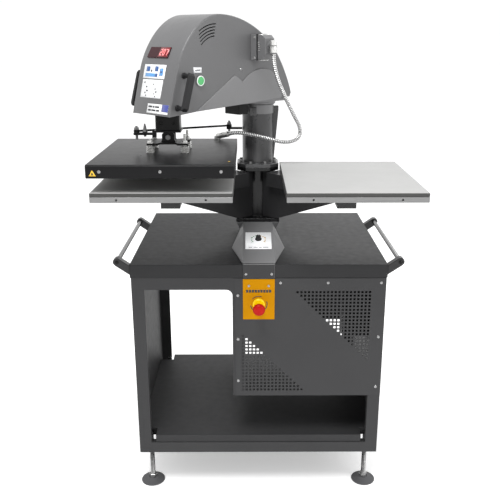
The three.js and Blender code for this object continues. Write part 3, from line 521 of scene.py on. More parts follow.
def perforated_panel():
    """Front panel cut from sheet: two triangles of square holes and the hole for the emergency stop."""
    low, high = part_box("front_panel")
    data = bpy.data.curves.new("front_panel_outline", "CURVE")
    data.dimensions = "2D"
    data.fill_mode = "BOTH"
    data.extrude = (high.y - low.y) / 2
    outline_spline(data, rectangle(low.x, low.z, high.x, high.z))
    half = PANEL_HOLE["half"] * MM
    for x, z in panel_holes():
        outline_spline(data, rectangle(x - half, z - half, x + half, z + half))
    radius, sides = PANEL_HOLE["stop"] * MM, 32
    turn = [2 * math.pi * k / sides for k in range(sides)]
    outline_spline(data, [(radius * math.cos(a), ESTOP_Z + radius * math.sin(a)) for a in turn])
    drawn = bpy.data.objects.new("front_panel_outline", data)
    bm = bmesh.new()
    bm.from_mesh(drawn.to_mesh())
    drawn.to_mesh_clear()
    bpy.data.objects.remove(drawn)
    bpy.data.curves.remove(data)
    place = Matrix.Translation((0, (low.y + high.y) / 2, 0)) @ Matrix.Rotation(math.pi / 2, 4, "X")
    replacement("front_panel", bm, "panel", place)


def recess(kind, size):
    """Radius of a screw's drive recess at each angle: a hexagon or a cross."""
    def hexagon(angle):
        return size * math.cos(math.pi / 6) / math.cos(angle % (math.pi / 3) - math.pi / 6)

    def cross(angle):
        return size * (1.0 if math.cos(4 * angle) > 0.75 else 0.35)

    return hexagon if kind == "hex" else cross


# Ways a screw head points: towards the operator, and up.
FORWARD = (0, -1, 0)
UP = (0, 0, 1)


def screws(name, places, direction, radius, material, body, height=1.6, kind="cross", slot="bright_steel"):
    """Rounded screw heads with drive recesses; radius and height are millimetres."""
    socket = recess(kind, radius * 0.5 * MM)
    floor = height * 0.35
    profile = [(0, 0), (radius, 0), (radius, height * 0.4), (radius * 0.86, height * 0.85),
               (radius * 0.62, height), (socket, height), (socket, floor), (0, floor)]
    bm = bmesh.new()
    for position in places:
        lathe(mm(profile), 32, bm, facing(position, direction))
    piece(name, bm, material, body, slot, angle=math.radians(25))


def hex_bolts(name, places, radius, height, material, body):
    """Hexagon heads with chamfered corners, each on its washer, pointing up; sizes are millimetres."""
    bm = bmesh.new()
    washer, chamfer = 1.5, 0.6
    for position in places:
        place = facing(position, UP)
        lathe(mm([(0, 0), (radius * 1.35, 0), (radius * 1.35, washer), (0, washer)]), 24, bm, place)
        lathe(mm([(0, washer), (radius, washer), (radius, height - chamfer), (radius * 0.86, height),
                  (0, height)]), 6, bm, place)
    piece(name, bm, material, body, "bright_steel")


# Turned parts are drawn as (radius, height) points in millimetres.
FOOT_THREAD = {"radius": 8, "pitch": 2, "low": 14, "clear": 16}
FOOT_NUT = ((0, 14), (14, 14.8), (14, 26), (12.6, 27), (0, 27))
FOOT_DISC = ((0, 0), (38.5, 0), (40, 1.2), (40, 3.4), (38.6, 5), (30, 7.4), (19, 11.2), (16, 13.6), (13, 14),
             (0, 14))


def make_feet():
    """Moulded disc, lock nut and threaded stud of each levelling foot."""
    radius, pitch = FOOT_THREAD["radius"], FOOT_THREAD["pitch"]
    for name in [n for n in frame["nodes"] if n.startswith("levelling_foot_")]:
        low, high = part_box(name)
        place = Matrix.Translation(((low.x + high.x) / 2, (low.y + high.y) / 2, 0))
        top = high.z / MM
        thread = [(0, 12), (radius - 0.7, 12)]
        for k in range(int((top - FOOT_THREAD["clear"]) / pitch)):
            z = FOOT_THREAD["low"] + k * pitch
            thread += [(radius - 0.8, z), (radius, z + pitch / 2)]
        thread += [(radius - 0.8, top), (0, top)]
        bm = lathe(mm(thread), 24)
        lathe(mm(FOOT_NUT), 6, bm)
        replacement(name, bm, "steel", place, "_stud")
        piece(name + "_disc", lathe(mm(FOOT_DISC), 56), "foot", BODY_OF[name], SLOT_OF[name], place)


def make_cabinet():
    for name, material, width in (
            ("front_frame", "cabinet", 1.2), ("side_panel_left", "cabinet", 0.8),
            ("side_panel_right", "cabinet", 0.8), ("top_tray", "tray", 1.5), ("storage_shelf", "shelf", 0.9),
            ("equipment_enclosure", "cabinet", 0.8), ("electrical_box", "equipment", 0.9),
            ("air_compressor", "equipment", 1.2)):
        refined(name, material, width)
    perforated_panel()
    make_feet()
    screws("panel_screws", [(x * MM, PANEL_FACE, z * MM) for x, z in PANEL_SCREWS], FORWARD, 4.6, "steel",
           "stand")


def handle_profile(radius, length):
    """Half outline of the tube with a slightly thicker, chamfered collar at each end."""
    collar, edge, step = 6 * MM, 1 * MM, 0.5 * MM
    return [(0, 0), (radius - edge, 0), (radius, edge), (radius, collar), (radius - step, collar + step),
            (radius - step, length - collar - step), (radius, length - collar), (radius, length - edge),
            (radius - edge, length), (0, length)]


def make_side_handles():
    """Polished tube with turned end collars, in its pair of brackets."""
    for side in ("left", "right"):
        low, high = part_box("side_handle_" + side)
        axis = (low + high) / 2
        bm = lathe(handle_profile((high.x - low.x) / 2, high.y - low.y), 48)
        replacement("side_handle_" + side, bm, "tube", facing((axis.x, low.y, axis.z), (0, 1, 0)))
        for end, outward in (("front", -1), ("rear", 1)):
            bracket = "handle_bracket_%s_%s" % (end, side)
            refined(bracket, "black", 1.5, 3)
            end_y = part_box(bracket)[outward > 0].y
            screws(bracket + "_cap", [(axis.x, end_y, axis.z)], (0, outward, 0), 6.5, "steel_black", "stand",
                   1.4, "hex", "black_steel")


# ---- labels ----

ON_HEAD = ("head", "head_paint")
ON_DISPLAY = ("head", "display")
ON_HOOD = ("stand", "cabinet_paint")
ON_STOP = ("stand", "estop_yellow")
ON_PLATEN = ("press", "black_paint")


def decal(name, where, u, v, material, on, lift=0.3, steps=(2, 2)):
    """Thin printed patch: where(u, v, lift) gives the point on its surface, and lengths are millimetres."""
    bm = bmesh.new()
    rows = []
    for i in range(steps[0] + 1):
        across = u[0] + (u[1] - u[0]) * i / steps[0]
        rows.append([bm.verts.new(where(across, v[0] + (v[1] - v[0]) * j / steps[1], lift))
                     for j in range(steps[1] + 1)])
    for a, b in zip(rows, rows[1:]):
        for j in range(steps[1]):
            bm.faces.new((a[j], b[j], b[j + 1], a[j + 1]))
    film = piece(name, bm, material, *on).modifiers.new("film", "SOLIDIFY")
    film.thickness = 0.25 * MM
    film.offset = 0


# The head's outlines are millimetres: distance from the column's axis towards the ram, then height.
DOME_FOOT = Vector((458, 1254))
DOME_HEEL = Vector((-66, 1281))
DOME_CURVES = (((424, 1380), (405, 1452), (335, 1541), (250, 1541)),
               ((250, 1541), (150, 1541), (50, 1490), (-2, 1424)),
               ((-2, 1424), (-35, 1380), (-60, 1335), (-72, 1295)))


def bezier(t, start, first, second, end):
    s = 1 - t
    return (s ** 3 * Vector(start) + 3 * s * s * t * Vector(first) + 3 * s * t * t * Vector(second)
            + t ** 3 * Vector(end))


def dome_reach(z):
    """Millimetres from the column to the dome's front skin at a height."""
    front = DOME_CURVES[0]
    knee = Vector(front[0])
    if z <= knee.y:
        return DOME_FOOT.x + (knee.x - DOME_FOOT.x) * (z - DOME_FOOT.y) / (knee.y - DOME_FOOT.y)
    low, high = 0.0, 1.0
    for _ in range(30):
        middle = (low + high) / 2
        low, high = (middle, high) if bezier(middle, *front).y < z else (low, middle)
    return bezier(low, *front).x


def on_dome(w, z, lift):
    """Point on the dome's front skin; w runs from its far side to its near side."""
    slope = (dome_reach(z + 1) - dome_reach(z - 1)) / 2
    outward = Vector((1, 0, -slope)).normalized()
    return HEAD @ (MM * (Vector((dome_reach(z), w, z)) + lift * outward))


def on_side(t, z, lift):
    return HEAD @ Vector((t * MM, HEAD_HALF + lift * MM, z * MM))


def on_estop_plate(x, z, lift):
    return Vector((x * MM, ESTOP_FACE - lift * MM, z * MM))


def on_platen_top(x, y, lift):
    return Vector((x * MM, y * MM, PLATEN_HIGH.z + lift * MM))


def on_platen_front(x, z, lift):
    return Vector((x * MM, PLATEN_FACE - lift * MM, z * MM))


HOOD_LIP = Vector((0, -246 * MM, 806 * MM))
HOOD_CREST = Vector((0, -78 * MM, 858 * MM))
HOOD_SLOPE = (HOOD_CREST - HOOD_LIP).normalized()
HOOD_OUT = Vector((0, -HOOD_SLOPE.z, HOOD_SLOPE.y))
KNOB_ALONG = (KNOB_Y - HOOD_LIP.y) / HOOD_SLOPE.y / MM


def on_hood(x, along, lift):
    """Point on the hood's slope, measured up from its front lip."""
    return HOOD_LIP + HOOD_SLOPE * (along * MM) + HOOD_OUT * (lift * MM) + Vector((x * MM, 0, 0))


def dome_decals():
    """Keypad, instruction label and nameplate on the dome's front."""
    rows = 8
    layout = (
        ("keypad", (-64, 38), (1357, 1397), "label", 0.3),
        ("keypad_icon_a", (-52, -36), (1377, 1391), "key_dark", 0.7),
        ("keypad_icon_b", (-12, 4), (1378, 1392), "key_dark", 0.7),
        ("keypad_dot", (-30, -24), (1376, 1382), "ink", 0.7),
        ("keypad_bar", (-54, -8), (1362, 1372), "key_blue", 0.7),
        ("keypad_bar_end", (-8, 4), (1362, 1372), "key_dark", 0.7),
        ("keypad_icon_c", (12, 28), (1366, 1387), "key_blue", 0.7),
        ("keypad_icon_c_mark", (15, 25), (1374, 1379), "key_dark", 1.0),
        ("guide_label", (-62, 35), (1302, 1354), "label", 0.3),
        ("nameplate", (-19, 80), (1259, 1286), "label", 0.3),
        ("nameplate_mark", (50, 80), (1266, 1286), "mark_blue", 0.7),
    )
    for name, w, z, material, lift in layout:
        decal(name, on_dome, w, z, material, ON_HEAD, lift, (2, rows))
    for k, (w, z, size) in enumerate(((-50, 1345, 4), (-38, 1333, 5), (-34, 1322, 7), (-42, 1316, 5),
                                      (-36, 1308, 4), (-6, 1341, 4), (4, 1328, 5), (10, 1320, 7),
                                      (2, 1314, 4), (8, 1307, 4))):
        decal("guide_figure_%d" % k, on_dome, (w - size / 2, w + size / 2), (z - 2.2, z + 2.2), "ink",
              ON_HEAD, 0.7)
    lines = ((1278, ((-14, 4), (7, 15), (18, 38))), (1268, ((-14, 0), (3, 22), (25, 40))))
    for row, (z, words) in enumerate(lines):
        for k, (start, end) in enumerate(words):
            decal("nameplate_word_%d_%d" % (row, k), on_dome, (start, end), (z - 2.4, z + 2.4), "ink",
                  ON_HEAD, 0.7)


def side_decals():
    for name, t, z, material, lift in (("start_label", (327, 361), (1372, 1391), "ink_grey", 0.3),
                                       ("start_label_face", (329, 359), (1374, 1389), "label", 0.6),
                                       ("start_label_line", (334, 354), (1380, 1384), "ink_grey", 0.9)):
        decal(name, on_side, t, z, material, ON_HEAD, lift)


def hood_decals():
    """White panel round the pressure knob, glowing faintly as painted light, with a scale of ticks and a row
    of bars.
    """
    decal("knob_label", on_hood, (-42, 42), (75, 172), "label_bright", ON_HOOD)
    for k in range(13):
        angle = math.radians(-35 + k * 250 / 12)
        along = Vector((math.cos(angle), math.sin(angle)))
        across = Vector((-along.y, along.x))

        def tick(u, v, lift):
            point = along * u + across * v
            return on_hood(point.x, KNOB_ALONG + point.y, lift)

        decal("knob_tick_%d" % k, tick, (20, 25 if k % 3 else 28), (-1.5, 1.5),
              "tick_yellow" if k < 6 else "tick_green", ON_HOOD, 0.7)
    for k, word in enumerate(((-32, -20), (-16, -2), (2, 10), (14, 32))):
        decal("knob_label_word_%d" % k, on_hood, word, (83, 86.5), "ink_grey", ON_HOOD, 0.7)


def estop_decals():
    """Row of dark blocks above the button and three arcs round it."""
    for k in range(9):
        left = -40 + 9 * k
        decal("estop_strip_%d" % k, on_estop_plate, (left, left + 7), (709, 718), "ink", ON_STOP)

    def arc(angle, radius, lift):
        return on_estop_plate(radius * math.cos(angle), ESTOP_Z / MM + radius * math.sin(angle), lift)

    for k in range(3):
        start, turn = math.radians(70 + 120 * k), math.radians(70)
        decal("estop_arc_%d" % k, arc, (start, start + turn), (25, 27.5), "ink", ON_STOP, steps=(12, 1))


def platen_decals():
    """Caution triangle on the front edge, and the small inspection dots on top."""
    def triangle(u, v, lift):
        return on_platen_front(-461 + 10 * u * (1 - v), 1110 + 17 * v, lift)

    decal("platen_mark", triangle, (-1, 1), (0, 0.98), "caution", ON_PLATEN)
    decal("platen_mark_sign", triangle, (-0.34, 0.34), (0.16, 0.6), "ink", ON_PLATEN, 0.6)
    for k, (x, y, ink) in enumerate(((-350, -240, "ink"), (-459, -357, "ink"), (-445, -341, "ink"),
                                     (-86, -352, "caution"))):
        decal("platen_dot_%d" % k, on_platen_top, (x - 2.5, x + 2.5), (y - 4, y + 4), ink, ON_PLATEN)


# ---- controls ----

ESTOP_NECK = ((0, 0), (19, 0), (19, 2.6), (17.6, 3.4), (15, 6), (14.2, 9), (14, 33.4), (13.4, 34), (0, 34))
ESTOP_CONTACTS = ((0, -36), (17, -36), (17, -5.4), (11, -5.2), (11, 0), (0, 0))
ESTOP_CAP = ((0, 20), (8, 20), (8, 41), (15, 41), (18, 42.6), (19, 45), (19, 49.6), (18.4, 51.8),
             (16.6, 54.6), (13, 56.6), (8, 57.7), (0, 58))


def make_controls():
    hood = refined("control_hood", "hood", 1.5, 3)
    # Slope, top and sides carry painted light in the lighter paint; faces towards or away from the operator
    # keep the cabinet's paint.
    second_finish(hood, "cabinet", lambda centre, normal: abs(normal.y) > 0.9)
    refined("estop_plate", "yellow_plate", 0.6)
    stop = facing((0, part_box("estop_collar")[0].y + ESTOP_NECK[-1][1] * MM, ESTOP_Z), FORWARD)
    bm = lathe(mm(ESTOP_NECK), 56)
    lathe(mm(ESTOP_CONTACTS), 4, bm)
    replacement("estop_collar", bm, "yellow", stop)
    replacement("estop_button", lathe(mm(ESTOP_CAP), 56), "red", stop)
    make_knob()
    for name, x, face, z, radius in (("hood_screws", 40, FLAP_FACE, 770, 4.4),
                                     ("estop_screws", 31, ESTOP_FACE, 731, 4.2)):
        places = [(-x * MM, face, z * MM), (x * MM, face, z * MM)]
        screws(name, places, FORWARD, radius, "steel", "stand")


def make_knob():
    """Fluted knob with a pointer line."""
    def fluted(radius):
        return lambda angle: radius * MM * (1 + 0.035 * math.cos(18 * angle))

    profile = [(0, -24), (3.5, -24), (3.5, 1), (10.5, 1), (10.5, 3.6), (9.1, 4.6), (fluted(8.4), 5.4),
               (fluted(7.8), 13.4), (7, 15), (5.8, 15.9), (0, 16)]
    place = facing(on_hood(0, KNOB_ALONG, 0), HOOD_OUT)
    replacement("pressure_knob", lathe(mm(profile), 108), "grip", place)
    piece("pressure_knob_line", slab(*mm(((-0.6, 1, 15.9), (0.6, 5.4, 16.2)))), "label", "knob",
          SLOT_OF["pressure_knob"], place)


# ---- pedestal, column, arms and lower plates ----

def silicone_pad(side):
    """Sponge pad with softly rounded edges and a face that is not quite flat."""
    low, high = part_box("silicone_pad_" + side)
    columns, rows, dip = 24, 30, 0.25 * MM
    round_off = 2.2 * MM
    bm = slab(low, high)
    bmesh.ops.bevel(bm, geom=bm.edges[:], offset=round_off, segments=3, profile=0.5, affect="EDGES")
    for axis, count in ((0, columns), (1, rows)):
        for k in range(1, count):
            point, normal = Vector(low), Vector((0, 0, 0))
            point[axis] = low[axis] + (high[axis] - low[axis]) * k / count
            normal[axis] = 1
            bmesh.ops.bisect_plane(bm, geom=bm.verts[:] + bm.edges[:] + bm.faces[:], plane_co=point,
                                   plane_no=normal)
    for vert in bm.verts:
        if vert.co.z > high.z - 0.1 * MM:
            vert.co.z -= dip * (0.5 + 0.5 * math.sin(vert.co.x * 31) * math.cos(vert.co.y * 23))
    replacement("silicone_pad_" + side, bm, "silicone")


# Faces of a station arm with a finish of their own: its root over the pedestal and the blocks at its end.
ARM_ROOT = {"low": 0.984, "reach": 0.14}
ARM_END = {"high": 0.99, "reach": 0.34}
ANCHOR_PIN = {"radius": 6 * MM, "offset": 9 * MM, "top": 1.178}
BANDS = (("column_band", "stand", 1226, 1256.4, 54.4), ("hub_band", "head", 1258.2, 1269, 60))


def around_column(radius, degrees, z):
    return [(COLUMN.x + radius * math.cos(math.radians(a)), COLUMN.y + radius * math.sin(math.radians(a)), z)
            for a in degrees]


def make_stations():
    # The pedestal base takes the hood's lightened paint: painted light on faces that turn down into shade.
    refined("pedestal_base", "hood", 1.5, 3)
    refined("pedestal", "pedestal", 1.5, 3)
    refined("swing_column", "column", 1.2)
    for side in ("left", "right"):
        arm = refined("station_arm_" + side, "black", 1.5, 3)
        second_finish(arm, "pedestal", lambda centre, normal: centre.z > ARM_ROOT["low"]
                      and (centre - COLUMN).xy.length < ARM_ROOT["reach"])
        second_finish(arm, "gasket", lambda centre, normal: centre.z < ARM_END["high"]
                      and (centre - COLUMN).xy.length > ARM_END["reach"])
        refined("lower_plate_" + side, "aluminium", 0.7)
        silicone_pad(side)
    hex_bolts("flange_bolts", around_column(63 * MM, range(22, 382, 45), FLANGE_TOP), 5.5, 8, "bolt", "stand")
    screws("pedestal_screws", [(x * MM, COLUMN.y - 66 * MM, 870 * MM) for x in (-48, 0, 30)], UP, 5,
           "steel_black", "stand", 4, "hex", "black_steel")
    for name, body, low, high, radius in BANDS:
        inner, edge = radius - 1.2, 0.6
        band = lathe([(inner, low), (radius, low + edge), (radius, high - edge), (inner, high)], 64)
        piece(name, band, "band", body, "bright_steel", Matrix.Translation(COLUMN) @ Matrix.Scale(MM, 4))
    refined("link_rod", "steel_black", 0.5)
    anchor = refined("link_anchor", "steel_black", 0.5)
    pin = Vector((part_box("link_anchor")[0].x + ANCHOR_PIN["offset"], COLUMN.y))
    second_finish(anchor, "bolt", lambda centre, normal: centre.z > ANCHOR_PIN["top"]
                  or (centre.xy - pin).length < ANCHOR_PIN["radius"])


# ---- swing head ----

DOME = {"half": 88, "round": 4, "wall": 2.5, "arc_steps": 5, "curve_steps": 24}
ARM_SEAM = ((-18.6, 1278.4), (-22.6, 1288), (9.4, 1350))
ARM_SEAM_CROWN = (((9.4, 1350), (21.4, 1376.6), (70, 1378.6)), ((70, 1378.6), (118, 1378.6), (159, 1340.6)))
ARM_SEAM_FRONT = ((193, 1362.6), (354.2, 1261.4))
LOUVRE = {"count": 5, "centre": (268, 1396), "outer": 118, "pitch": 8.5, "slot": 3.2, "steps": 14}


def dome_line():
    """Side outline of the dome from its front foot over the crest to its heel."""
    steps = DOME["curve_steps"]
    curves = [bezier(k / steps, *curve) for curve in DOME_CURVES for k in range(steps)]
    return [DOME_FOOT, (DOME_FOOT + curves[0]) / 2, *curves, Vector(DOME_CURVES[-1][-1]), DOME_HEEL]


def dome_section():
    """Closed (inset, width) section of the skin with its two rounded edges and its inner face."""
    half, radius, wall, steps = DOME["half"], DOME["round"], DOME["wall"], DOME["arc_steps"]
    turn = [math.pi / 2 * k / steps for k in range(steps + 1)]
    near = [(radius - radius * math.sin(a), half - radius + radius * math.cos(a)) for a in turn]
    far = [(inset, -width) for inset, width in reversed(near)]
    inside = half - wall
    return near + far + [(radius, -inside), (wall, -inside), (wall, inside), (radius, inside)]


def arm_seam():
    """Zigzag edge of the dome's side over the arm's side plate."""
    crown = []
    for start, pull, end in ARM_SEAM_CROWN:
        for k in range(1, 9):
            t = k / 8
            crown.append(tuple((1 - t) ** 2 * start[i] + 2 * t * (1 - t) * pull[i] + t * t * end[i]
                               for i in (0, 1)))
    return [*ARM_SEAM, *crown, *ARM_SEAM_FRONT]


def louvre_loops():
    loops = []
    for row in range(LOUVRE["count"]):
        outer = LOUVRE["outer"] - row * LOUVRE["pitch"]
        start = math.pi / 2 - 0.02 * row
        end = start - 0.62 - 0.03 * row
        angles = [start + (end - start) * k / LOUVRE["steps"] for k in range(LOUVRE["steps"] + 1)]
        loops.append([(LOUVRE["centre"][0] + radius * math.cos(a), LOUVRE["centre"][1] + radius * math.sin(a))
                      for radius, turn in ((outer, angles), (outer - LOUVRE["slot"], angles[::-1]))
                      for a in turn])
    return loops


def head_cover():
    """Folded dome: curved skin with rounded edges, and two flat sides, the near one louvred."""
    line = dome_line()
    ahead = line[1:] + line[-1:]
    behind = line[:1] + line[:-1]
    along = [(b - a).normalized() for a, b in zip(behind, ahead)]
    outward = [Vector((d.y, -d.x)) for d in along]
    bm = bmesh.new()
    rings = []
    for point, normal in zip(line, outward):
        places = [(point - normal * inset, width) for inset, width in dome_section()]
        rings.append([bm.verts.new((p.x, width, p.y)) for p, width in places])
    for low, high in zip(rings, rings[1:]):
        for k in range(len(low)):
            n = (k + 1) % len(low)
            bm.faces.new((low[k], low[n], high[n], high[k]))
    bm.faces.new(rings[0])
    bm.faces.new(rings[-1])
    rim = [tuple(p - n * DOME["round"]) for p, n in zip(line, outward)] + arm_seam()
    inside = DOME["half"] - DOME["wall"]
    plate(bm, [rim, *louvre_loops()], inside, DOME["half"])
    plate(bm, [rim], -DOME["half"], -inside)
    replacement("head_cover", bm, "head", HEAD @ Matrix.Scale(MM, 4))


SEGMENTS = {"a": ((0, 1), (1, 1)), "b": ((1, 1), (1, 0.5)), "c": ((1, 0.5), (1, 0)), "d": ((0, 0), (1, 0)),
            "e": ((0, 0), (0, 0.5)), "f": ((0, 0.5), (0, 1)), "g": ((0, 0.5), (1, 0.5))}
NUMERALS = {"2": "abged", "0": "abcdef", "7": "abc"}
DISPLAY = {"place": (403, -12.5, 1431), "tilt": -0.56, "face": 3.1}
DIGIT = {"width": 6.5, "height": 18, "stroke": 2.1, "left": 8, "pitch": 13, "foot": -9.5}


def make_display():
    """Dark window whose right half is lit, with three seven-segment numerals."""
    refined("display_window", "window", 0.6)
    tilt = Matrix.Rotation(DISPLAY["tilt"], 4, "Y")
    place = HEAD @ Matrix.Translation(Vector(DISPLAY["place"]) * MM) @ tilt

    def on_window(w, h, lift):
        return place @ (Vector((DISPLAY["face"] + lift, w, h)) * MM)

    decal("display_glow", on_window, (2, 46), (-15.5, 15.5), "lit", ON_DISPLAY, 0.1)
    width, height, half = DIGIT["width"], DIGIT["height"], DIGIT["stroke"] / 2
    for k, numeral in enumerate("207"):
        left, foot = DIGIT["left"] + DIGIT["pitch"] * k, DIGIT["foot"]
        for segment in NUMERALS[numeral]:
            ends = SEGMENTS[segment]
            across = sorted(left + x * width for x, _ in ends)
            up = sorted(foot + y * height for _, y in ends)
            decal("digit_%d_%s" % (k, segment), on_window, (across[0] - half, across[1] + half),
                  (up[0] - half, up[1] + half), "digit", ON_DISPLAY, 0.4)


BOW_FOOT = ((0, 0), (9, 0), (9, 3), (7.6, 4.4), (0, 4.4))
BOW_POSTS = ((397, 1368), (425, 1277))


def bow_handle(side, sign):
    """Black bow: flat grip on two posts, with a foot collar on each."""
    name = "front_handle_" + side
    refined(name, "grip", 2.4, 4)
    bm = bmesh.new()
    for t, z in BOW_POSTS:
        lathe(mm(BOW_FOOT), 28, bm,
              HEAD @ facing((t * MM, sign * (HEAD_HALF + 0.2 * MM), z * MM), (0, sign, 0)))
    piece(name + "_feet", bm, "grip", "head", SLOT_OF[name])


BUTTON_PLACE = (337, 1351)
BUTTON_RIM = ((12.2, 3.7), (13.4, 3.7), (15, 4.6), (15, 5.8), (14.2, 6.5), (12.8, 6.8), (12.2, 6.4),
              (12.2, 3.7))
BUTTON_CAP = ((0, 3.8), (12, 3.8), (12, 6.2), (10.4, 6.7), (6, 6.9), (0, 7))


def start_button(side, sign):
    name = "start_button_" + side
    t, z = BUTTON_PLACE
    place = HEAD @ facing((t * MM, sign * HEAD_HALF, z * MM), (0, sign, 0))
    replacement(name, lathe(mm(BUTTON_RIM), 48), "white_ring", place, "_rim")
    piece(name + "_cap", lathe(mm(BUTTON_CAP), 48), "green", BODY_OF[name], SLOT_OF[name], place)


LEVER_LINE = ((84, 100), (84, 128), (100, 138), (117, 128), (117, 100))
LEVER_PIVOT = ((0, 0), (4, 0), (4, 2.4), (0, 2.8))


def make_connector():
    """Rectangular heater connector: base, hood, locking levers and knurled outlet gland."""
    refined("connector_base", "die_cast", 1.5, 3)
    refined("connector_hood", "die_cast", 1.5, 3)
    piece("connector_gasket", slab(*mm(((77.4, 114.6, 1404.4), (123.6, 117.2, 1483.6)))), "gasket", "head",
          "black_plastic", HEAD)
    ribs = bmesh.new()
    for k in range(5):
        z = 1433 + 6 * k
        slab(*mm(((120.6, 119, z), (121.9, 126, z + 3.4))), ribs)
    piece("connector_ribs", ribs, "gland", "head", "bright_steel", HEAD)
    bm = bmesh.new()
    for z in (1405.8, 1481.2):
        line = spline([HEAD @ (Vector((t, w, z)) * MM) for t, w in LEVER_LINE], 8)
        tube(line, 1.3 * MM, 10, bm)
    for t, outward in ((79, -1), (122, 1)):
        for z in (1412, 1474):
            lathe(mm(LEVER_PIVOT), 18, bm, HEAD @ facing((t * MM, 106 * MM, z * MM), (outward, 0, 0)))
    piece("connector_levers", bm, "gland", "head", "bright_steel")

    def knurled(angle):
        return 11 * MM * (1 + 0.03 * math.cos(20 * angle))

    gland = lathe(mm([(0, 1423.6), (8, 1423.6), (9.4, 1426), (knurled, 1430), (knurled, 1446), (9.6, 1449),
                      (10.9, 1451), (11, 1462), (8, 1465), (0, 1465.5)]), 80)
    piece("connector_gland", gland, "gland", "head", "bright_steel",
          HEAD @ Matrix.Translation((100 * MM, 165 * MM, 0)))


def make_head():
    head_cover()
    refined("head_arm", "arm", 1.2)
    refined("swing_hub", "steel_black", 1.5, 3)
    refined("air_cylinder", "aluminium", 0.8)
    make_display()
    for side, sign in (("near", 1), ("far", -1)):
        bow_handle(side, sign)
        start_button(side, sign)
    make_connector()
    screws("head_screws", [HEAD @ Vector((165 * MM, HEAD_HALF, 1378 * MM))],
           HEAD.to_3x3() @ Vector((0, 1, 0)), 4, "steel", "head")


# ---- press tool ----

SPRING = {"layers": 4, "layer": 5.4, "spider_low": 1163.2, "spider_high": 1169.8, "nut_top": 1177}


def spring_bolt(name):
    """Stud, washer, nut and stack of bright disc springs."""
    low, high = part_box(name)
    centre = (low + high) / 2
    z, top = low.z / MM, high.z / MM
    profile = [(0, z)]
    for k in range(SPRING["layers"]):
        foot = z + SPRING["layer"] * k
        profile += [(12.2, foot), (13, foot + 0.5), (13, foot + 1.9), (9, foot + 3.6), (6, foot + 3.9),
                    (6, foot + SPRING["layer"])]
    under, over, nut_top = SPRING["spider_low"], SPRING["spider_high"], SPRING["nut_top"]
    washer = over + 1.8
    profile = profile[:-1] + [(6, under), (4, under), (4, over), (10, over), (10, washer), (4, washer)]
    while profile[-1][1] < top - 1:
        turn = profile[-1][1]
        profile += [(3.4, turn + 0.5), (4, turn + 1)]
    profile += [(3, top), (0, top)]
    bm = lathe(mm(profile), 32)
    lathe(mm(((0, washer), (8, washer + 0.4), (8, nut_top - 0.6), (7, nut_top), (0, nut_top))), 6, bm)
    replacement(name, bm, "gland", Matrix.Translation((centre.x, centre.y, 0)))


def without_screws(cover):
    """Flattens the CAD's plain screw heads into the front face, where finished screws take their place."""
    bm = bmesh.new()
    bm.from_mesh(cover.data)
    for vertex in bm.verts:
        vertex.co.y = max(vertex.co.y, PLATEN_FACE)
    bmesh.ops.remove_doubles(bm, verts=bm.verts, dist=0.01 * MM)
    bm.to_mesh(cover.data)
    bm.free()
    shade(cover.data)


ADJUSTER = {"beyond": 62 * MM, "plate_low": 1.1865, "plate_high": 1.1955}


def make_press():
    arm = refined("collar_arm", "steel_black", 0.6)
    second_finish(arm, "bolt", lambda centre, normal: centre.x < RAM_AXIS.x - ADJUSTER["beyond"]
                  and not ADJUSTER["plate_low"] < centre.z < ADJUSTER["plate_high"])
    for name, material, width in (("collar_block", "steel_black", 1.2), ("ram", "ground", 0.6),
                                  ("press_yoke", "steel_black", 1.2), ("pivot_bolt", "bolt", 0.8),
                                  ("spider_plate", "steel_black", 0.8),
                                  ("heating_plate", "aluminium", 0.8), ("hose_gland", "gland", 0.8)):
        refined(name, material, width)
    for name in [n for n in frame["nodes"] if n.startswith("spring_bolt_")]:
        spring_bolt(name)
    without_screws(refined("platen_cover", "platen", 1.2))
    screws("platen_screws", [(x * MM, PLATEN_FACE, 1122 * MM) for x in (-442.5, -274.5, -106.5)], FORWARD,
           4.6, "steel", "press")
    screws("collar_screws", [(RAM_AXIS.x + x * 26 * MM, RAM_AXIS.y + y * 26 * MM, COLLAR_HIGH.z)
                             for x in (-1, 1) for y in (-1, 1)],
           UP, 5.5, "bolt", "collar", 5, "hex")
    screws("collar_front_screws", [(RAM_AXIS.x + x * MM, COLLAR_LOW.y, 1228 * MM) for x in (-20, 20)],
           FORWARD, 4.5, "steel_black", "collar", 3, "hex")


# ---- floor and light ----

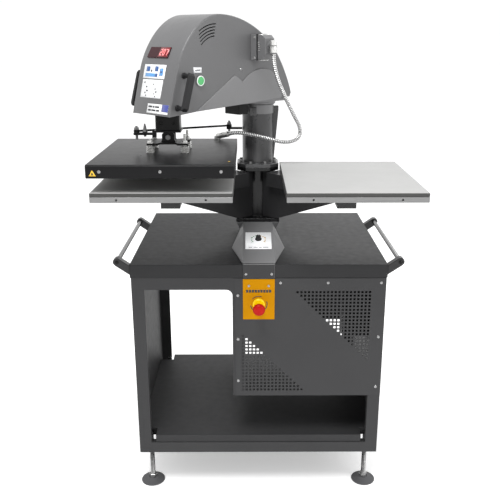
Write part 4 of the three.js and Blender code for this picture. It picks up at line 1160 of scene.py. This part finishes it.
def make_stage():
    mesh = bpy.data.meshes.new("floor")
    reach = 30
    corners = [(x, y, 0) for x, y in rectangle(-reach, -reach, reach, reach)]
    mesh.from_pydata(corners, [], [(0, 1, 2, 3)])
    floor = bpy.data.objects.new("floor", mesh)
    bpy.context.scene.collection.objects.link(floor)
    white = surface("floor_white", srgb(250, 250, 250), 0.6, grain=300.0, variation=0.004, gloss=0.2)
    shader = white.node_tree.nodes["Principled BSDF"]
    shader.inputs["Emission Color"].default_value = (1, 1, 1, 1)
    shader.inputs["Emission Strength"].default_value = 0.35
    mesh.materials.append(white)


def area_light(name, position, target, size, power):
    light = bpy.data.lights.new(name, "AREA")
    light.shape = "DISK"
    light.size = size
    light.energy = power
    made = bpy.data.objects.new(name, light)
    made.location = position
    made.rotation_euler = (Vector(target) - Vector(position)).to_track_quat("-Z", "Y").to_euler()
    bpy.context.scene.collection.objects.link(made)


def make_light():
    """White backdrop and horizon, a dimmer studio above the front, and a large soft key light overhead."""
    world = bpy.data.worlds.new("studio")
    world.use_nodes = True
    tree = world.node_tree
    direction = node(tree, "SeparateXYZ", {0: node(tree, "TexCoord").outputs["Generated"]})
    behind = ranged(tree, direction.outputs["Y"], -0.5, 0.25, 0.0, 1.0)
    near_horizon = ranged(tree, direction.outputs["Z"], 0.45, 0.1, 0.0, 1.0)
    bright = node(tree, "Math", {0: behind, 1: near_horizon}, operation="MAXIMUM").outputs[0]
    strength = ranged(tree, bright, 0.0, 1.0, 0.4, 1.02)
    tree.nodes["Background"].inputs["Color"].default_value = (1, 1, 1, 1)
    tree.links.new(strength, tree.nodes["Background"].inputs["Strength"])
    bpy.context.scene.world = world
    bpy.context.scene.view_settings.view_transform = "Standard"
    middle = (0, 0, 0.9)
    area_light("key", (-0.55, -1.7, 3.9), middle, 1.5, 90)
    area_light("fill", (2.4, -1.6, 2.2), middle, 2.0, 20)
    area_light("rim", (0.8, 2.6, 2.8), middle, 2.0, 25)


make_camera()
make_hose()
make_cabinet()
make_side_handles()
make_controls()
make_stations()
make_head()
make_press()
dome_decals()
side_decals()
hood_decals()
estop_decals()
platen_decals()
make_stage()
make_light()
